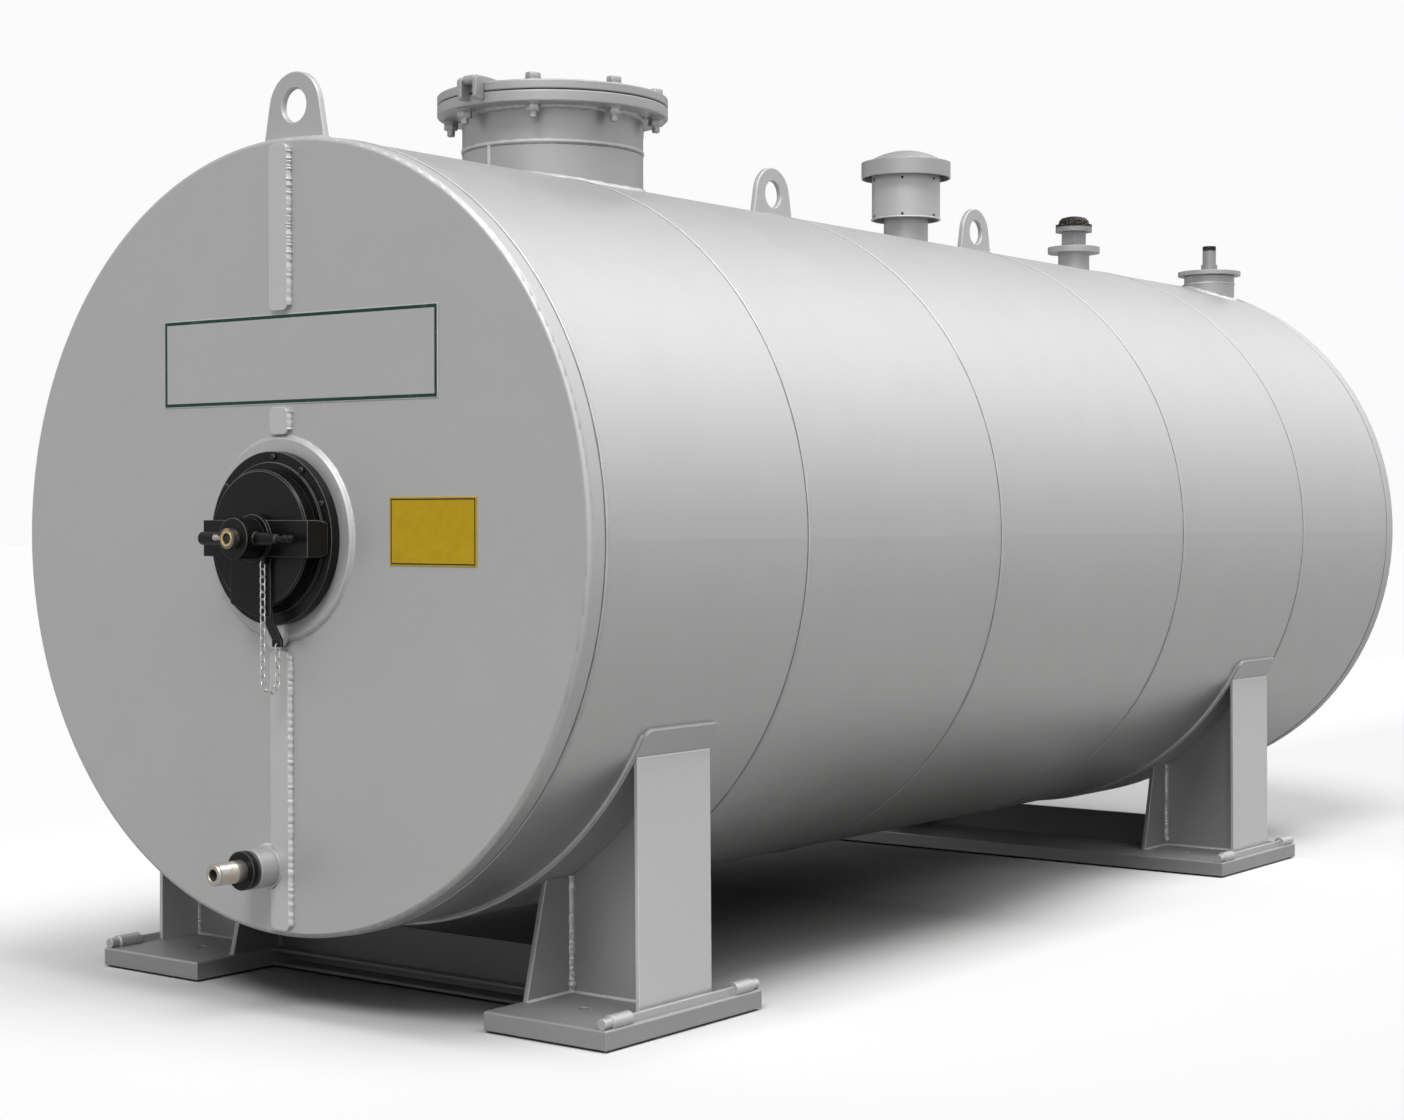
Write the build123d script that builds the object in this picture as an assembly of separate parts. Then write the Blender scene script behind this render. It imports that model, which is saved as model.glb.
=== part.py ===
from build123d import *
from math import cos, pi, radians, sin, sqrt
import os

# Horizontal diesel storage tank on two saddles, in millimetres.
# +Z is up, +Y runs along the tank from the hatch end to the plain end, +X is the side of the gauge.
# The origin is on the floor, under the middle of the whole length.

# Tank shell
tank_od = 2200.0
tank_length = 5400.0
ground_clearance = 218.0
shell_wall = 8.0
head_wall = 10.0
head_knuckle = 14.0
head_flange = 70.0
end_course = 895.0
second_course = 1080.0
seam_width = 15.0
seam_rise = 3.5
seam_crown_share = 0.5
seat_gap = 0.3
cut_overrun = 20.0

# Cover strip over the middle seam of each head
strap_width = 71.0
strap_thickness = 12.0
strap_corner = 18.0
strap_end_gap = 5.0
strap_middle_length = 75.0
sign_height = 265.0

# Lifting lugs
lug_base_width = 246.0
lug_top_radius = 100.0
lug_height = 188.0
lug_hole_radius = 47.0
lug_hole_height = 95.0
lug_thickness = 20.0
lug_edge = 2.5
front_lug_station = 60.0
middle_lug_share = 0.218
rear_lug_past_seam = 380.0

# Manhole on the top line
manhole_station = 1149.0
manhole_neck_od = 565.0
manhole_neck_wall = 10.0
manhole_flange_od = 720.0
manhole_flange_height = 199.0
manhole_flange_thickness = 34.0
manhole_gasket_thickness = 3.0
manhole_gasket_inset = 6.0
manhole_cover_thickness = 28.0
manhole_edge = 3.0

# Hinge of the manhole cover
hinge_width = 72.0
hinge_ear_thickness = 13.0
hinge_ear_reach = 36.0
hinge_ear_corner = 12.0
hinge_ear_lift = 11.0
hinge_ear_rise = 14.0
hinge_knuckle_radius = 14.0
hinge_pin_radius = 7.0
hinge_pin_reach = 18.0
hinge_strap_reach = 210.0
hinge_strap_rise = 20.0
hinge_strap_tip = 4.0
hinge_strap_width = 44.0
hinge_strap_crest = 34.0

# Vent on the top line
vent_share = 0.9
vent_neck_od = 168.0
vent_neck_wall = 7.0
vent_neck_height = 220.0
vent_drum_od = 260.0
vent_drum_wall = 5.0
vent_drum_bottom = 91.0
vent_plate_thickness = 6.0
vent_plate_bore = 80.0
vent_cap_od = 340.0
vent_cap_bottom = 250.0
vent_cap_skirt = 60.0
vent_cap_wall = 5.0
vent_dome_od = 300.0
vent_dome_rise = 46.0

# Breather on the top line
breather_past_seam = 139.0
breather_neck_od = 132.0
breather_neck_wall = 6.0
breather_flange_od = 220.0
breather_flange_bottom = 84.0
breather_flange_thickness = 26.0
breather_flange_bore = 60.0
breather_body_radius = 58.0
breather_body_height = 65.0
breather_body_sides = 6
breather_cap_od = 154.0
breather_cap_thickness = 31.0
breather_dome_od = 130.0
breather_dome_rise = 35.0
dome_radius_shares = (1.0, 0.97, 0.8, 0.45, 0.0)
dome_rise_shares = (0.0, 0.45, 0.8, 0.97, 1.0)

# Gauge fitting, set to the side of the top line
gauge_end_gap = 200.0
gauge_offset = 335.0
gauge_drum_od = 216.0
gauge_drum_wall = 7.0
gauge_flange_od = 270.0
gauge_flange_rise = 69.0
gauge_flange_thickness = 18.0
gauge_stub_od = 58.0
gauge_stub_height = 113.0
gauge_stub_bore = 34.0
gauge_stub_bore_depth = 40.0
gauge_collar_od = 70.0
gauge_collar_height = 32.0

# Drain low on the front head
drain_drop = 911.0
drain_offset = 55.0
drain_root_od = 122.0
drain_root_thickness = 10.0
drain_collar_od = 110.0
drain_collar_length = 65.0
drain_ring_od = 108.0
drain_ring_length = 30.0
drain_ring_neck_od = 92.0
drain_ring_neck_share = 0.35
drain_nipple_od = 62.0
drain_nipple_length = 100.0
drain_nipple_bore = 32.0
drain_nipple_bore_depth = 80.0
drain_clearance = 3.0

# Hatch in the middle of the front head
hatch_bore = 320.0
hatch_pad_od = 560.0
hatch_pad_thickness = 12.0
hatch_pad_bevel = 6.0
hatch_flange_od = 476.0
hatch_flange_thickness = 30.0
hatch_ring_od = 416.0
hatch_ring_thickness = 6.0
hatch_cap_od = 376.0
hatch_cap_depth = 38.0
hatch_cap_wall = 9.0
hatch_cap_bevel = 5.0

# Clamp yoke over the hatch cap, with its screw and handle
yoke_span = 410.0
yoke_splay = 18.0
yoke_height = 100.0
yoke_corner = 14.0
yoke_thickness = 10.0
yoke_cap_gap = 4.0
collar_radius = 66.0
collar_length = 10.0
screw_radius = 20.0
screw_clearance = 0.06
hub_radius = 56.0
hub_length = 63.0
hub_gap = 5.0
handle_share = 0.42
handle_radius = 18.0
handle_bevel = 4.0
handle_left = 165.0
handle_taper = 95.0
handle_grip = 132.0
handle_tip_radius = 12.0
handle_neck_radius = 7.0
handle_reach = 197.0
handle_knobs = 2
handle_knob_radius = 12.0
handle_knob_pitch = 22.0
nut_radius = 28.0
nut_length = 22.0
nut_bore_radius = 14.0
nut_bore_depth = 14.0

# Hinge arm of the hatch cap and the tab under it
arm_left = 104.0
arm_right = 54.0
arm_thickness = 7.0
arm_top_gap = 5.0
arm_foot_drop = 212.0
arm_slope_rise = 33.0
arm_slope_run = 94.0
tongue_width = 36.0
tongue_overlap = 12.0
tab_width = 72.0
tab_thickness = 16.0
tab_overhang = 24.0
tab_length = 72.0

# Keeper chain from the yoke to the arm
chain_offset = 36.0
link_length = 29.0
link_width = 20.0
link_wire = 4.0
link_clearance = 0.4
wire_sides = 6
links_down = 16
links_round = 4
links_up = 5
eye_width = 18.0
eye_thickness = 8.0
eye_hole_radius = 3.2
eye_margin = 10.0

# Saddles
front_saddle_station = 535.0
rear_saddle_end_gap = 1138.0
wear_thickness = 12.0
wear_width = 330.0
wear_half_angle = 63.0
wear_corner = 28.0
wedge_shares = (-1.0, -0.5, 0.0, 0.5, 1.0)
end_plate_foot = 958.0
end_plate_lean = 12.0
end_plate_width = 320.0
end_plate_thickness = 12.0
web_thickness = 16.0
gusset_inside = 580.0
gusset_thickness = 16.0
gusset_foot_width = 390.0
gusset_top_width = 230.0
cross_web_gap = 38.0
base_thickness = 52.0
base_inside = 572.0
base_outside = 995.0
base_width = 690.0
base_edge = 4.0
anchor_spacing_x = 1530.0
anchor_spacing_y = 314.0
anchor_hole_radius = 17.0
channel_width = 80.0
channel_wall = 9.0

# Tie rod along the outer edge of each foot
tie_barrel_radius = 20.0
tie_barrel_length = 110.0
tie_barrel_rise = 14.0
tie_nub_radius = 15.0
tie_nub_length = 32.0
tie_bar_thickness = 9.0
tie_bar_height = 22.0

# Values worked out from the sizes above
tank_radius = tank_od / 2
axis_height = ground_clearance + tank_radius
hatch_ring_front = hatch_pad_thickness + hatch_flange_thickness + hatch_ring_thickness
hatch_cap_face = hatch_ring_front + hatch_cap_depth
yoke_back = hatch_cap_face + yoke_cap_gap
yoke_front = yoke_back + yoke_thickness
hub_back = yoke_front + collar_length + hub_gap
hub_front = hub_back + hub_length
nut_front = hub_front + nut_length
drain_front = drain_root_thickness + drain_collar_length + drain_ring_length + drain_nipple_length
front_reach = max(nut_front, drain_front)
overall_length = front_reach + tank_length + strap_thickness
front_face = front_reach - overall_length / 2
rear_face = front_face + tank_length
top_height = axis_height + tank_radius
strap_end = tank_radius - head_knuckle - strap_end_gap
wear_radius = tank_radius + seat_gap + wear_thickness
saddle_seat = wear_radius + seat_gap
rear_saddle_station = tank_length - rear_saddle_end_gap
saddle_stations = (front_saddle_station, rear_saddle_station)
cross_web_top = axis_height - saddle_seat - cross_web_gap
first_seam = head_flange + end_course
second_seam = first_seam + second_course
third_seam = tank_length - second_seam
fourth_seam = tank_length - first_seam
last_seam = tank_length - head_flange
middle_course = third_seam - second_seam
middle_lug_station = second_seam + middle_course * middle_lug_share
rear_lug_station = third_seam + rear_lug_past_seam
vent_station = second_seam + middle_course * vent_share
vent_ball_radius = ((vent_dome_od / 2) ** 2 + vent_dome_rise ** 2) / (2 * vent_dome_rise)
vent_dome_top = vent_cap_bottom + vent_cap_skirt + vent_dome_rise
breather_station = fourth_seam + breather_past_seam
gauge_station = tank_length - gauge_end_gap
axis_line = Axis((0, 0, axis_height), (0, 1, 0))
manhole_bore = manhole_neck_od - 2 * manhole_neck_wall
manhole_flange_bottom = top_height + manhole_flange_height
manhole_gasket_bottom = manhole_flange_bottom + manhole_flange_thickness
manhole_cover_bottom = manhole_gasket_bottom + manhole_gasket_thickness
manhole_cover_top = manhole_cover_bottom + manhole_cover_thickness
link_pitch = link_length - 2 * link_wire - link_clearance
link_lead = (link_length - link_wire - link_pitch) / 2
chain_turn_radius = link_pitch / (2 * sin(pi / (2 * links_round)))
chain_start_out = yoke_front + eye_thickness / 2
chain_end_out = chain_start_out - 2 * chain_turn_radius
chain_start_drop = yoke_height / 2 + eye_margin + link_lead
chain_end_drop = chain_start_drop + (links_down - links_up) * link_pitch


def station(distance):
    """Y of a place measured back from the front head's face."""
    return front_face + distance


def out(distance):
    """Y of a place measured forward out of the front head's face."""
    return front_face - distance


def across(y):
    """Plane facing the front end: X to the right, Z up."""
    return Plane(origin=(0, y, 0), x_dir=(1, 0, 0), z_dir=(0, -1, 0))


def along(x):
    """Plane facing the gauge side: Y to the right, Z up."""
    return Plane(origin=(x, 0, 0), x_dir=(0, 1, 0), z_dir=(1, 0, 0))


def outline(points):
    """Face inside a closed line of straight runs."""
    return make_face(Polyline(*points, close=True))


def bar(radius, start, end):
    """Round bar from one point to another."""
    run = Vector(*end) - Vector(*start)
    return extrude(Plane(origin=start, z_dir=run) * Circle(radius), run.length)


def brick(low, high):
    """Square-edged block between two opposite corners."""
    size = [b - a for a, b in zip(low, high)]
    middle = [(a + b) / 2 for a, b in zip(low, high)]
    return Pos(*middle) * Box(*size)


def tank_block(radius):
    """Round block along the tank's axis, used to cut seats on the shell."""
    start = (0, front_face - cut_overrun, axis_height)
    return bar(radius, start, (0, rear_face + cut_overrun, axis_height))


def spun(points, centre, direction):
    """Solid of revolution: points are (radius, height along the direction) from the centre."""
    side = Vector(1, 0, 0).cross(Vector(*direction))
    plane = Plane(origin=centre, x_dir=(1, 0, 0), z_dir=side)
    return revolve(plane * outline(points), Axis(centre, direction))


def group(pieces):
    """Separate solids kept together in one sub-part."""
    return Compound([piece.solid() for piece in pieces])


def both_sides(piece):
    """A piece and its mirror image on the other side of the tank."""
    return [piece, mirror(piece, Plane.YZ)]


# Nozzle holes in the shell: (station, offset, radius)
shell_holes = [
    (manhole_station, 0, manhole_bore / 2),
    (vent_station, 0, vent_neck_od / 2 - vent_neck_wall),
    (breather_station, 0, breather_neck_od / 2 - breather_neck_wall),
    (gauge_station, gauge_offset, gauge_drum_od / 2 - gauge_drum_wall),
]


def course(start, end):
    """One rolled plate ring of the shell, with the nozzle holes that fall in it."""
    plane = Plane(origin=(0, station(start), axis_height), x_dir=(1, 0, 0), z_dir=(0, 1, 0))
    ring = extrude(plane * (Circle(tank_radius) - Circle(tank_radius - shell_wall)), end - start)
    for place, offset, radius in shell_holes:
        if place + radius > start and place - radius < end:
            foot = (offset, station(place), axis_height)
            ring -= bar(radius, foot, (offset, station(place), top_height + cut_overrun))
    return ring


def girth_seams():
    """Low weld bead round the shell at each joint, broken by the manhole neck and the front lug."""
    low = tank_radius + seat_gap
    high = tank_radius + seam_rise
    neck_place = (0, station(manhole_station), axis_height)
    neck_top = (0, station(manhole_station), top_height + cut_overrun)
    neck = bar(manhole_neck_od / 2 + seat_gap, neck_place, neck_top)
    lug_half = lug_thickness / 2 + seat_gap
    lug_reach = lug_base_width / 2 + seat_gap
    lug_room = brick((-lug_reach, station(front_lug_station) - lug_half, axis_height),
                     (lug_reach, station(front_lug_station) + lug_half, top_height + cut_overrun))
    beads = []
    for seam in (head_flange, first_seam, second_seam, third_seam, fourth_seam, last_seam):
        foot = seam_width / 2
        crown = foot * seam_crown_share
        bead = spun([(low, -foot), (high, -crown), (high, crown), (low, foot)],
                    (0, station(seam), axis_height), (0, 1, 0))
        beads.append(bead - neck - lug_room)
    return group(beads)


def head(face_y, inward, bore):
    """Flanged flat head with a rounded knuckle, open in the middle when it has a bore."""
    inner = tank_radius - head_wall
    flat = tank_radius - head_knuckle
    bend = head_knuckle - head_wall
    turn = cos(pi / 4)
    outer_middle = (flat + head_knuckle * turn, head_knuckle * (1 - turn))
    inner_middle = (flat + bend * turn, head_knuckle - bend * turn)
    profile = make_face([
        Line((bore, 0), (flat, 0)),
        ThreePointArc((flat, 0), outer_middle, (tank_radius, head_knuckle)),
        Line((tank_radius, head_knuckle), (tank_radius, head_flange)),
        Line((tank_radius, head_flange), (inner, head_flange)),
        Line((inner, head_flange), (inner, head_knuckle)),
        ThreePointArc((inner, head_knuckle), inner_middle, (flat, head_wall)),
        Line((flat, head_wall), (bore, head_wall)),
        Line((bore, head_wall), (bore, 0)),
    ])
    plane = Plane(origin=(0, face_y, axis_height), x_dir=(1, 0, 0), z_dir=(0, 0, inward))
    return revolve(plane * profile, axis_line)


def strap_piece(face_y, outward, low, high):
    """One length of flat bar on a head, between two heights from the axis."""
    plane = Plane(origin=(0, face_y, axis_height + (low + high) / 2), x_dir=(1, 0, 0), z_dir=(0, outward, 0))
    return extrude(plane * RectangleRounded(strap_width, high - low, strap_corner), strap_thickness)


def front_strap():
    """Cover strip of the front head, broken by the sign, the hatch and the drain."""
    middle_low = hatch_pad_od / 2 + strap_end_gap
    middle_high = middle_low + strap_middle_length
    tab_low = hatch_pad_od / 2 + tab_overhang + strap_end_gap
    lower = strap_piece(front_face, -1, -strap_end, -tab_low)
    centre = (-drain_offset, front_face, axis_height - drain_drop)
    reach = (-drain_offset, out(strap_thickness + cut_overrun), axis_height - drain_drop)
    lower -= bar(drain_root_od / 2 + drain_clearance, centre, reach)
    upper = strap_piece(front_face, -1, middle_high + sign_height, strap_end)
    middle = strap_piece(front_face, -1, middle_low, middle_high)
    return group([upper, middle, lower])


def rear_strap():
    """Cover strip of the plain rear head, in one length."""
    return strap_piece(rear_face, 1, -strap_end, strap_end)


def lug(plane):
    """Lifting lug: a plate with a round top and an eye, its foot cut to the shell."""
    top = Pos(0, lug_height - lug_top_radius) * Circle(lug_top_radius)
    foot = Line((-lug_base_width / 2, -cut_overrun), (lug_base_width / 2, -cut_overrun))
    shape = make_hull(top.edges() + foot.edges()) - Pos(0, lug_hole_height) * Circle(lug_hole_radius)
    plate = extrude(plane * shape, lug_thickness / 2, both=True)
    faces = plate.faces().filter_by(Axis((0, 0, 0), plane.z_dir))
    plate = chamfer(faces.edges(), lug_edge)
    return plate - tank_block(tank_radius + seat_gap)


def lifting_lugs():
    """One lug across the tank behind the front head and two along its top line."""
    front_place = (0, station(front_lug_station), top_height)
    lugs = [lug(Plane(origin=front_place, x_dir=(1, 0, 0), z_dir=(0, -1, 0)))]
    for distance in (middle_lug_station, rear_lug_station):
        place = (0, station(distance), top_height)
        lugs.append(lug(Plane(origin=place, x_dir=(0, 1, 0), z_dir=(1, 0, 0))))
    return group(lugs)


def set_on_neck(distance, offset, outer, wall, top):
    """Pipe standing on the shell, with its foot cut to the round of the tank."""
    foot = (offset, station(distance), axis_height)
    end = (offset, station(distance), top)
    pipe = bar(outer / 2, foot, end) - bar(outer / 2 - wall, foot, end)
    return pipe - tank_block(tank_radius + seat_gap)


def disc(distance, offset, bottom, thickness, outer, bore):
    """Flat round plate on an upright axis, with a bore when it has one."""
    shape = Circle(outer / 2)
    if bore > 0:
        shape -= Circle(bore / 2)
    return extrude(Plane(origin=(offset, station(distance), bottom)) * shape, thickness)


def eased_disc(bottom, thickness, bore):
    """Flat round plate of the manhole with eased rims, and a bore when it has one."""
    rim = manhole_flange_od / 2
    return spun([
        (bore / 2, 0), (rim - manhole_edge, 0), (rim, manhole_edge),
        (rim, thickness - manhole_edge), (rim - manhole_edge, thickness), (bore / 2, thickness),
    ], (0, station(manhole_station), bottom), (0, 0, 1))


def manhole_neck():
    """Wide pipe under the manhole flange."""
    return set_on_neck(manhole_station, 0, manhole_neck_od, manhole_neck_wall, manhole_flange_bottom)


def manhole_flange():
    """Bolting flange on the manhole neck."""
    return eased_disc(manhole_flange_bottom, manhole_flange_thickness, manhole_bore)


def manhole_gasket():
    """Thin gasket between flange and cover, set in from the rim."""
    return disc(manhole_station, 0, manhole_gasket_bottom, manhole_gasket_thickness,
                manhole_flange_od - 2 * manhole_gasket_inset, manhole_bore)


def manhole_cover():
    """Round cover plate."""
    return eased_disc(manhole_cover_bottom, manhole_cover_thickness, 0)


def cover_hinge():
    """Hinge at the front of the manhole: two ears on the rim, a pin, and a knuckle with a tapered strap."""
    rim = station(manhole_station) - manhole_flange_od / 2
    pin_y = rim - hinge_pin_reach
    strap_top = manhole_cover_top + hinge_strap_rise
    pin_z = strap_top - hinge_knuckle_radius
    strap_tip = rim + hinge_strap_reach
    strap_side = [
        (pin_y, manhole_cover_top), (strap_tip, manhole_cover_top),
        (strap_tip, manhole_cover_top + hinge_strap_tip), (rim + hinge_strap_crest, strap_top),
        (pin_y, strap_top),
    ]
    strap_half = hinge_strap_width / 2
    hinge = extrude(along(0) * outline(strap_side), strap_half, both=True)
    hinge += bar(hinge_knuckle_radius, (-strap_half, pin_y, pin_z), (strap_half, pin_y, pin_z))
    half = hinge_width / 2
    hinge += bar(hinge_pin_radius, (-half, pin_y, pin_z), (half, pin_y, pin_z))
    low = manhole_flange_bottom + hinge_ear_lift
    high = manhole_cover_top + hinge_ear_rise
    inner = rim - seat_gap
    ear_shape = Pos(inner - hinge_ear_reach / 2, (low + high) / 2) * RectangleRounded(
        hinge_ear_reach, high - low, hinge_ear_corner)
    for left in (-half, half - hinge_ear_thickness):
        hinge += extrude(along(left) * ear_shape, hinge_ear_thickness)
    return hinge


def vent_neck():
    """Pipe under the vent."""
    return set_on_neck(vent_station, 0, vent_neck_od, vent_neck_wall, top_height + vent_neck_height)


def vent_ball(shrink):
    """Ball whose top is the dome of the vent cap, made smaller by a wall."""
    centre = top_height + vent_dome_top - vent_ball_radius
    return Pos(0, station(vent_station), centre) * Sphere(vent_ball_radius - shrink)


def vent_drum():
    """Open-bottomed drum of the vent, carried on the neck by a plate inside it, its top cut to the dome."""
    outer = vent_drum_od / 2
    inner = outer - vent_drum_wall
    plate_top = vent_neck_height + vent_plate_thickness
    drum = spun([
        (vent_plate_bore / 2, vent_neck_height), (inner, vent_neck_height),
        (inner, vent_drum_bottom), (outer, vent_drum_bottom), (outer, vent_dome_top), (inner, vent_dome_top),
        (inner, plate_top), (vent_plate_bore / 2, plate_top),
    ], (0, station(vent_station), top_height), (0, 0, 1))
    return drum & vent_ball(vent_cap_wall + seat_gap)


def vent_cap():
    """Rain cap over the vent drum: a skirt, a narrow ledge and a low dome."""
    outer = vent_cap_od / 2
    inner = outer - vent_cap_wall
    shoulder = vent_cap_bottom + vent_cap_skirt
    under = shoulder - vent_cap_wall
    ledge_inner = vent_dome_od / 2 - vent_cap_wall
    rim = spun([
        (outer, vent_cap_bottom), (outer, shoulder), (ledge_inner, shoulder),
        (ledge_inner, under), (inner, under), (inner, vent_cap_bottom),
    ], (0, station(vent_station), top_height), (0, 0, 1))
    room = disc(vent_station, 0, top_height + under, vent_cap_wall + vent_dome_rise, vent_dome_od, 0)
    return rim + ((vent_ball(0) - vent_ball(vent_cap_wall)) & room)


def breather_neck():
    """Pipe of the breather with its flange."""
    flange_bottom = top_height + breather_flange_bottom
    neck = set_on_neck(breather_station, 0, breather_neck_od, breather_neck_wall, flange_bottom)
    return neck + disc(breather_station, 0, flange_bottom, breather_flange_thickness,
                       breather_flange_od, breather_flange_bore)


def breather_valve():
    """Breather valve: a six-sided body, a round cap ring and a low dome."""
    bottom = top_height + breather_flange_bottom + breather_flange_thickness
    place = (0, station(breather_station), bottom)
    body = extrude(Plane(origin=place) * RegularPolygon(breather_body_radius, breather_body_sides),
                   breather_body_height)
    dome_bottom = breather_body_height + breather_cap_thickness
    points = [(0, breather_body_height), (breather_cap_od / 2, breather_body_height),
              (breather_cap_od / 2, dome_bottom)]
    for radius_share, rise_share in zip(dome_radius_shares, dome_rise_shares):
        points.append((breather_dome_od / 2 * radius_share, dome_bottom + breather_dome_rise * rise_share))
    return body + spun(points, place, (0, 0, 1))


def gauge_flange_bottom():
    """Height of the underside of the gauge flange."""
    return axis_height + sqrt(tank_radius ** 2 - gauge_offset ** 2) + gauge_flange_rise


def gauge_neck():
    """Short drum of the gauge fitting with its blind flange."""
    bottom = gauge_flange_bottom()
    drum = set_on_neck(gauge_station, gauge_offset, gauge_drum_od, gauge_drum_wall, bottom)
    return drum + disc(gauge_station, gauge_offset, bottom, gauge_flange_thickness, gauge_flange_od, 0)


def gauge_stub():
    """Stub pipe on the gauge flange, with a collar at its foot and an open top."""
    place = (gauge_offset, station(gauge_station), gauge_flange_bottom() + gauge_flange_thickness)
    floor = gauge_stub_height - gauge_stub_bore_depth
    points = [
        (0, 0), (gauge_collar_od / 2, 0), (gauge_collar_od / 2, gauge_collar_height),
        (gauge_stub_od / 2, gauge_collar_height), (gauge_stub_od / 2, gauge_stub_height),
        (gauge_stub_bore / 2, gauge_stub_height), (gauge_stub_bore / 2, floor), (0, floor),
    ]
    return spun(points, place, (0, 0, 1))


def drain_part(points):
    """Round part of the drain, turned about its axis out of the head."""
    return spun(points, (-drain_offset, front_face, axis_height - drain_drop), (0, -1, 0))


def drain_collar():
    """Welded collar of the drain with a wider root ring on the head."""
    end = drain_root_thickness + drain_collar_length
    return drain_part([
        (0, 0), (drain_root_od / 2, 0), (drain_root_od / 2, drain_root_thickness),
        (drain_collar_od / 2, drain_root_thickness), (drain_collar_od / 2, end), (0, end),
    ])


def drain_ring():
    """Stepped ring in front of the drain collar."""
    start = drain_root_thickness + drain_collar_length
    neck = start + drain_ring_length * drain_ring_neck_share
    end = start + drain_ring_length
    return drain_part([
        (0, start), (drain_ring_neck_od / 2, start), (drain_ring_neck_od / 2, neck),
        (drain_ring_od / 2, neck), (drain_ring_od / 2, end), (0, end),
    ])


def drain_nipple():
    """Hose nipple of the drain with a blind bore."""
    start = drain_root_thickness + drain_collar_length + drain_ring_length
    end = start + drain_nipple_length
    floor = end - drain_nipple_bore_depth
    return drain_part([
        (0, start), (drain_nipple_od / 2, start), (drain_nipple_od / 2, end),
        (drain_nipple_bore / 2, end), (drain_nipple_bore / 2, floor), (0, floor),
    ])


def hatch_part(points):
    """Round part of the hatch, turned about the tank's axis out of the head."""
    return spun(points, (0, front_face, axis_height), (0, -1, 0))


def hatch_pad():
    """Reinforcing ring on the head around the hatch opening."""
    outer = hatch_pad_od / 2
    return hatch_part([
        (hatch_bore / 2, 0), (outer, 0), (outer, hatch_pad_thickness - hatch_pad_bevel),
        (outer - hatch_pad_bevel, hatch_pad_thickness), (hatch_bore / 2, hatch_pad_thickness),
    ])


def hatch_flange():
    """Hatch flange with a raised ring for the cap."""
    step = hatch_pad_thickness + hatch_flange_thickness
    return hatch_part([
        (hatch_bore / 2, hatch_pad_thickness), (hatch_flange_od / 2, hatch_pad_thickness),
        (hatch_flange_od / 2, step), (hatch_ring_od / 2, step),
        (hatch_ring_od / 2, hatch_ring_front), (hatch_bore / 2, hatch_ring_front),
    ])


def hatch_cap():
    """Hollow cap that closes the hatch."""
    outer = hatch_cap_od / 2
    inner = outer - hatch_cap_wall
    floor = hatch_cap_face - hatch_cap_wall
    return hatch_part([
        (inner, hatch_ring_front), (outer, hatch_ring_front), (outer, hatch_cap_face - hatch_cap_bevel),
        (outer - hatch_cap_bevel, hatch_cap_face), (0, hatch_cap_face), (0, floor), (inner, floor),
    ])


def eye_hole(distance, drop):
    """Cut for a chain eye, through a plate that faces the front end."""
    start = (chain_offset, out(distance - eye_thickness), axis_height - drop)
    end = (chain_offset, out(distance + eye_thickness), axis_height - drop)
    return bar(eye_hole_radius, start, end)


def hatch_yoke():
    """Clamp yoke: a bent flat bar over the cap, with a screw collar and an eye for the chain."""
    foot = hatch_pad_thickness + hatch_flange_thickness
    half = yoke_span / 2
    half_inside = half - yoke_thickness
    plan = [
        (-half - yoke_splay, out(foot)), (-half, out(yoke_front)),
        (half, out(yoke_front)), (half + yoke_splay, out(foot)),
        (half_inside + yoke_splay, out(foot)), (half_inside, out(yoke_back)),
        (-half_inside, out(yoke_back)), (-half_inside - yoke_splay, out(foot)),
    ]
    level = Plane(origin=(0, 0, axis_height))
    yoke = extrude(level * outline(plan), yoke_height / 2, both=True)
    front_view = Plane(origin=(0, out(foot), axis_height), x_dir=(1, 0, 0), z_dir=(0, -1, 0))
    room = RectangleRounded(2 * (half + yoke_splay), yoke_height, yoke_corner)
    yoke &= extrude(front_view * room, yoke_front - foot)
    collar_front = (0, out(yoke_front + collar_length), axis_height)
    collar_back = (0, out((yoke_back + yoke_front) / 2), axis_height)
    yoke += bar(collar_radius, collar_back, collar_front)
    eye_drop = chain_start_drop - link_lead
    eye_low = axis_height - eye_drop - eye_margin
    yoke += brick((chain_offset - eye_width / 2, out(yoke_front + eye_thickness), eye_low),
                  (chain_offset + eye_width / 2, out(yoke_front), axis_height))
    yoke -= eye_hole(chain_start_out, eye_drop)
    return yoke - bar(screw_radius + screw_clearance, (0, out(hatch_ring_front), axis_height),
                      (0, out(hub_front), axis_height))


def screw_handle(handle_y):
    """Cross handle: a thick grip with a narrower tip, a thin neck and two small knobs."""
    profile = [
        (-handle_left, 0), (-handle_left, handle_radius - handle_bevel),
        (handle_bevel - handle_left, handle_radius), (handle_taper, handle_radius),
        (handle_grip, handle_tip_radius), (handle_grip, handle_neck_radius),
        (handle_reach - handle_knob_radius, handle_neck_radius), (handle_reach - handle_knob_radius, 0),
    ]
    face = outline([(x, axis_height + radius) for x, radius in profile])
    handle = revolve(across(handle_y) * face, Axis((0, handle_y, axis_height), (1, 0, 0)))
    for count in range(handle_knobs):
        place = handle_reach - handle_knob_radius - count * handle_knob_pitch
        handle += Pos(place, handle_y, axis_height) * Sphere(handle_knob_radius)
    return handle


def hatch_screw():
    """Clamp screw that turns in the yoke, with its hub and its long cross handle."""
    tip = hatch_cap_face + seat_gap
    screw = hatch_part([
        (0, tip), (screw_radius, tip), (screw_radius, hub_back),
        (hub_radius, hub_back), (hub_radius, hub_front), (0, hub_front),
    ])
    return screw + screw_handle(out(hub_back + hub_length * handle_share))


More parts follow.
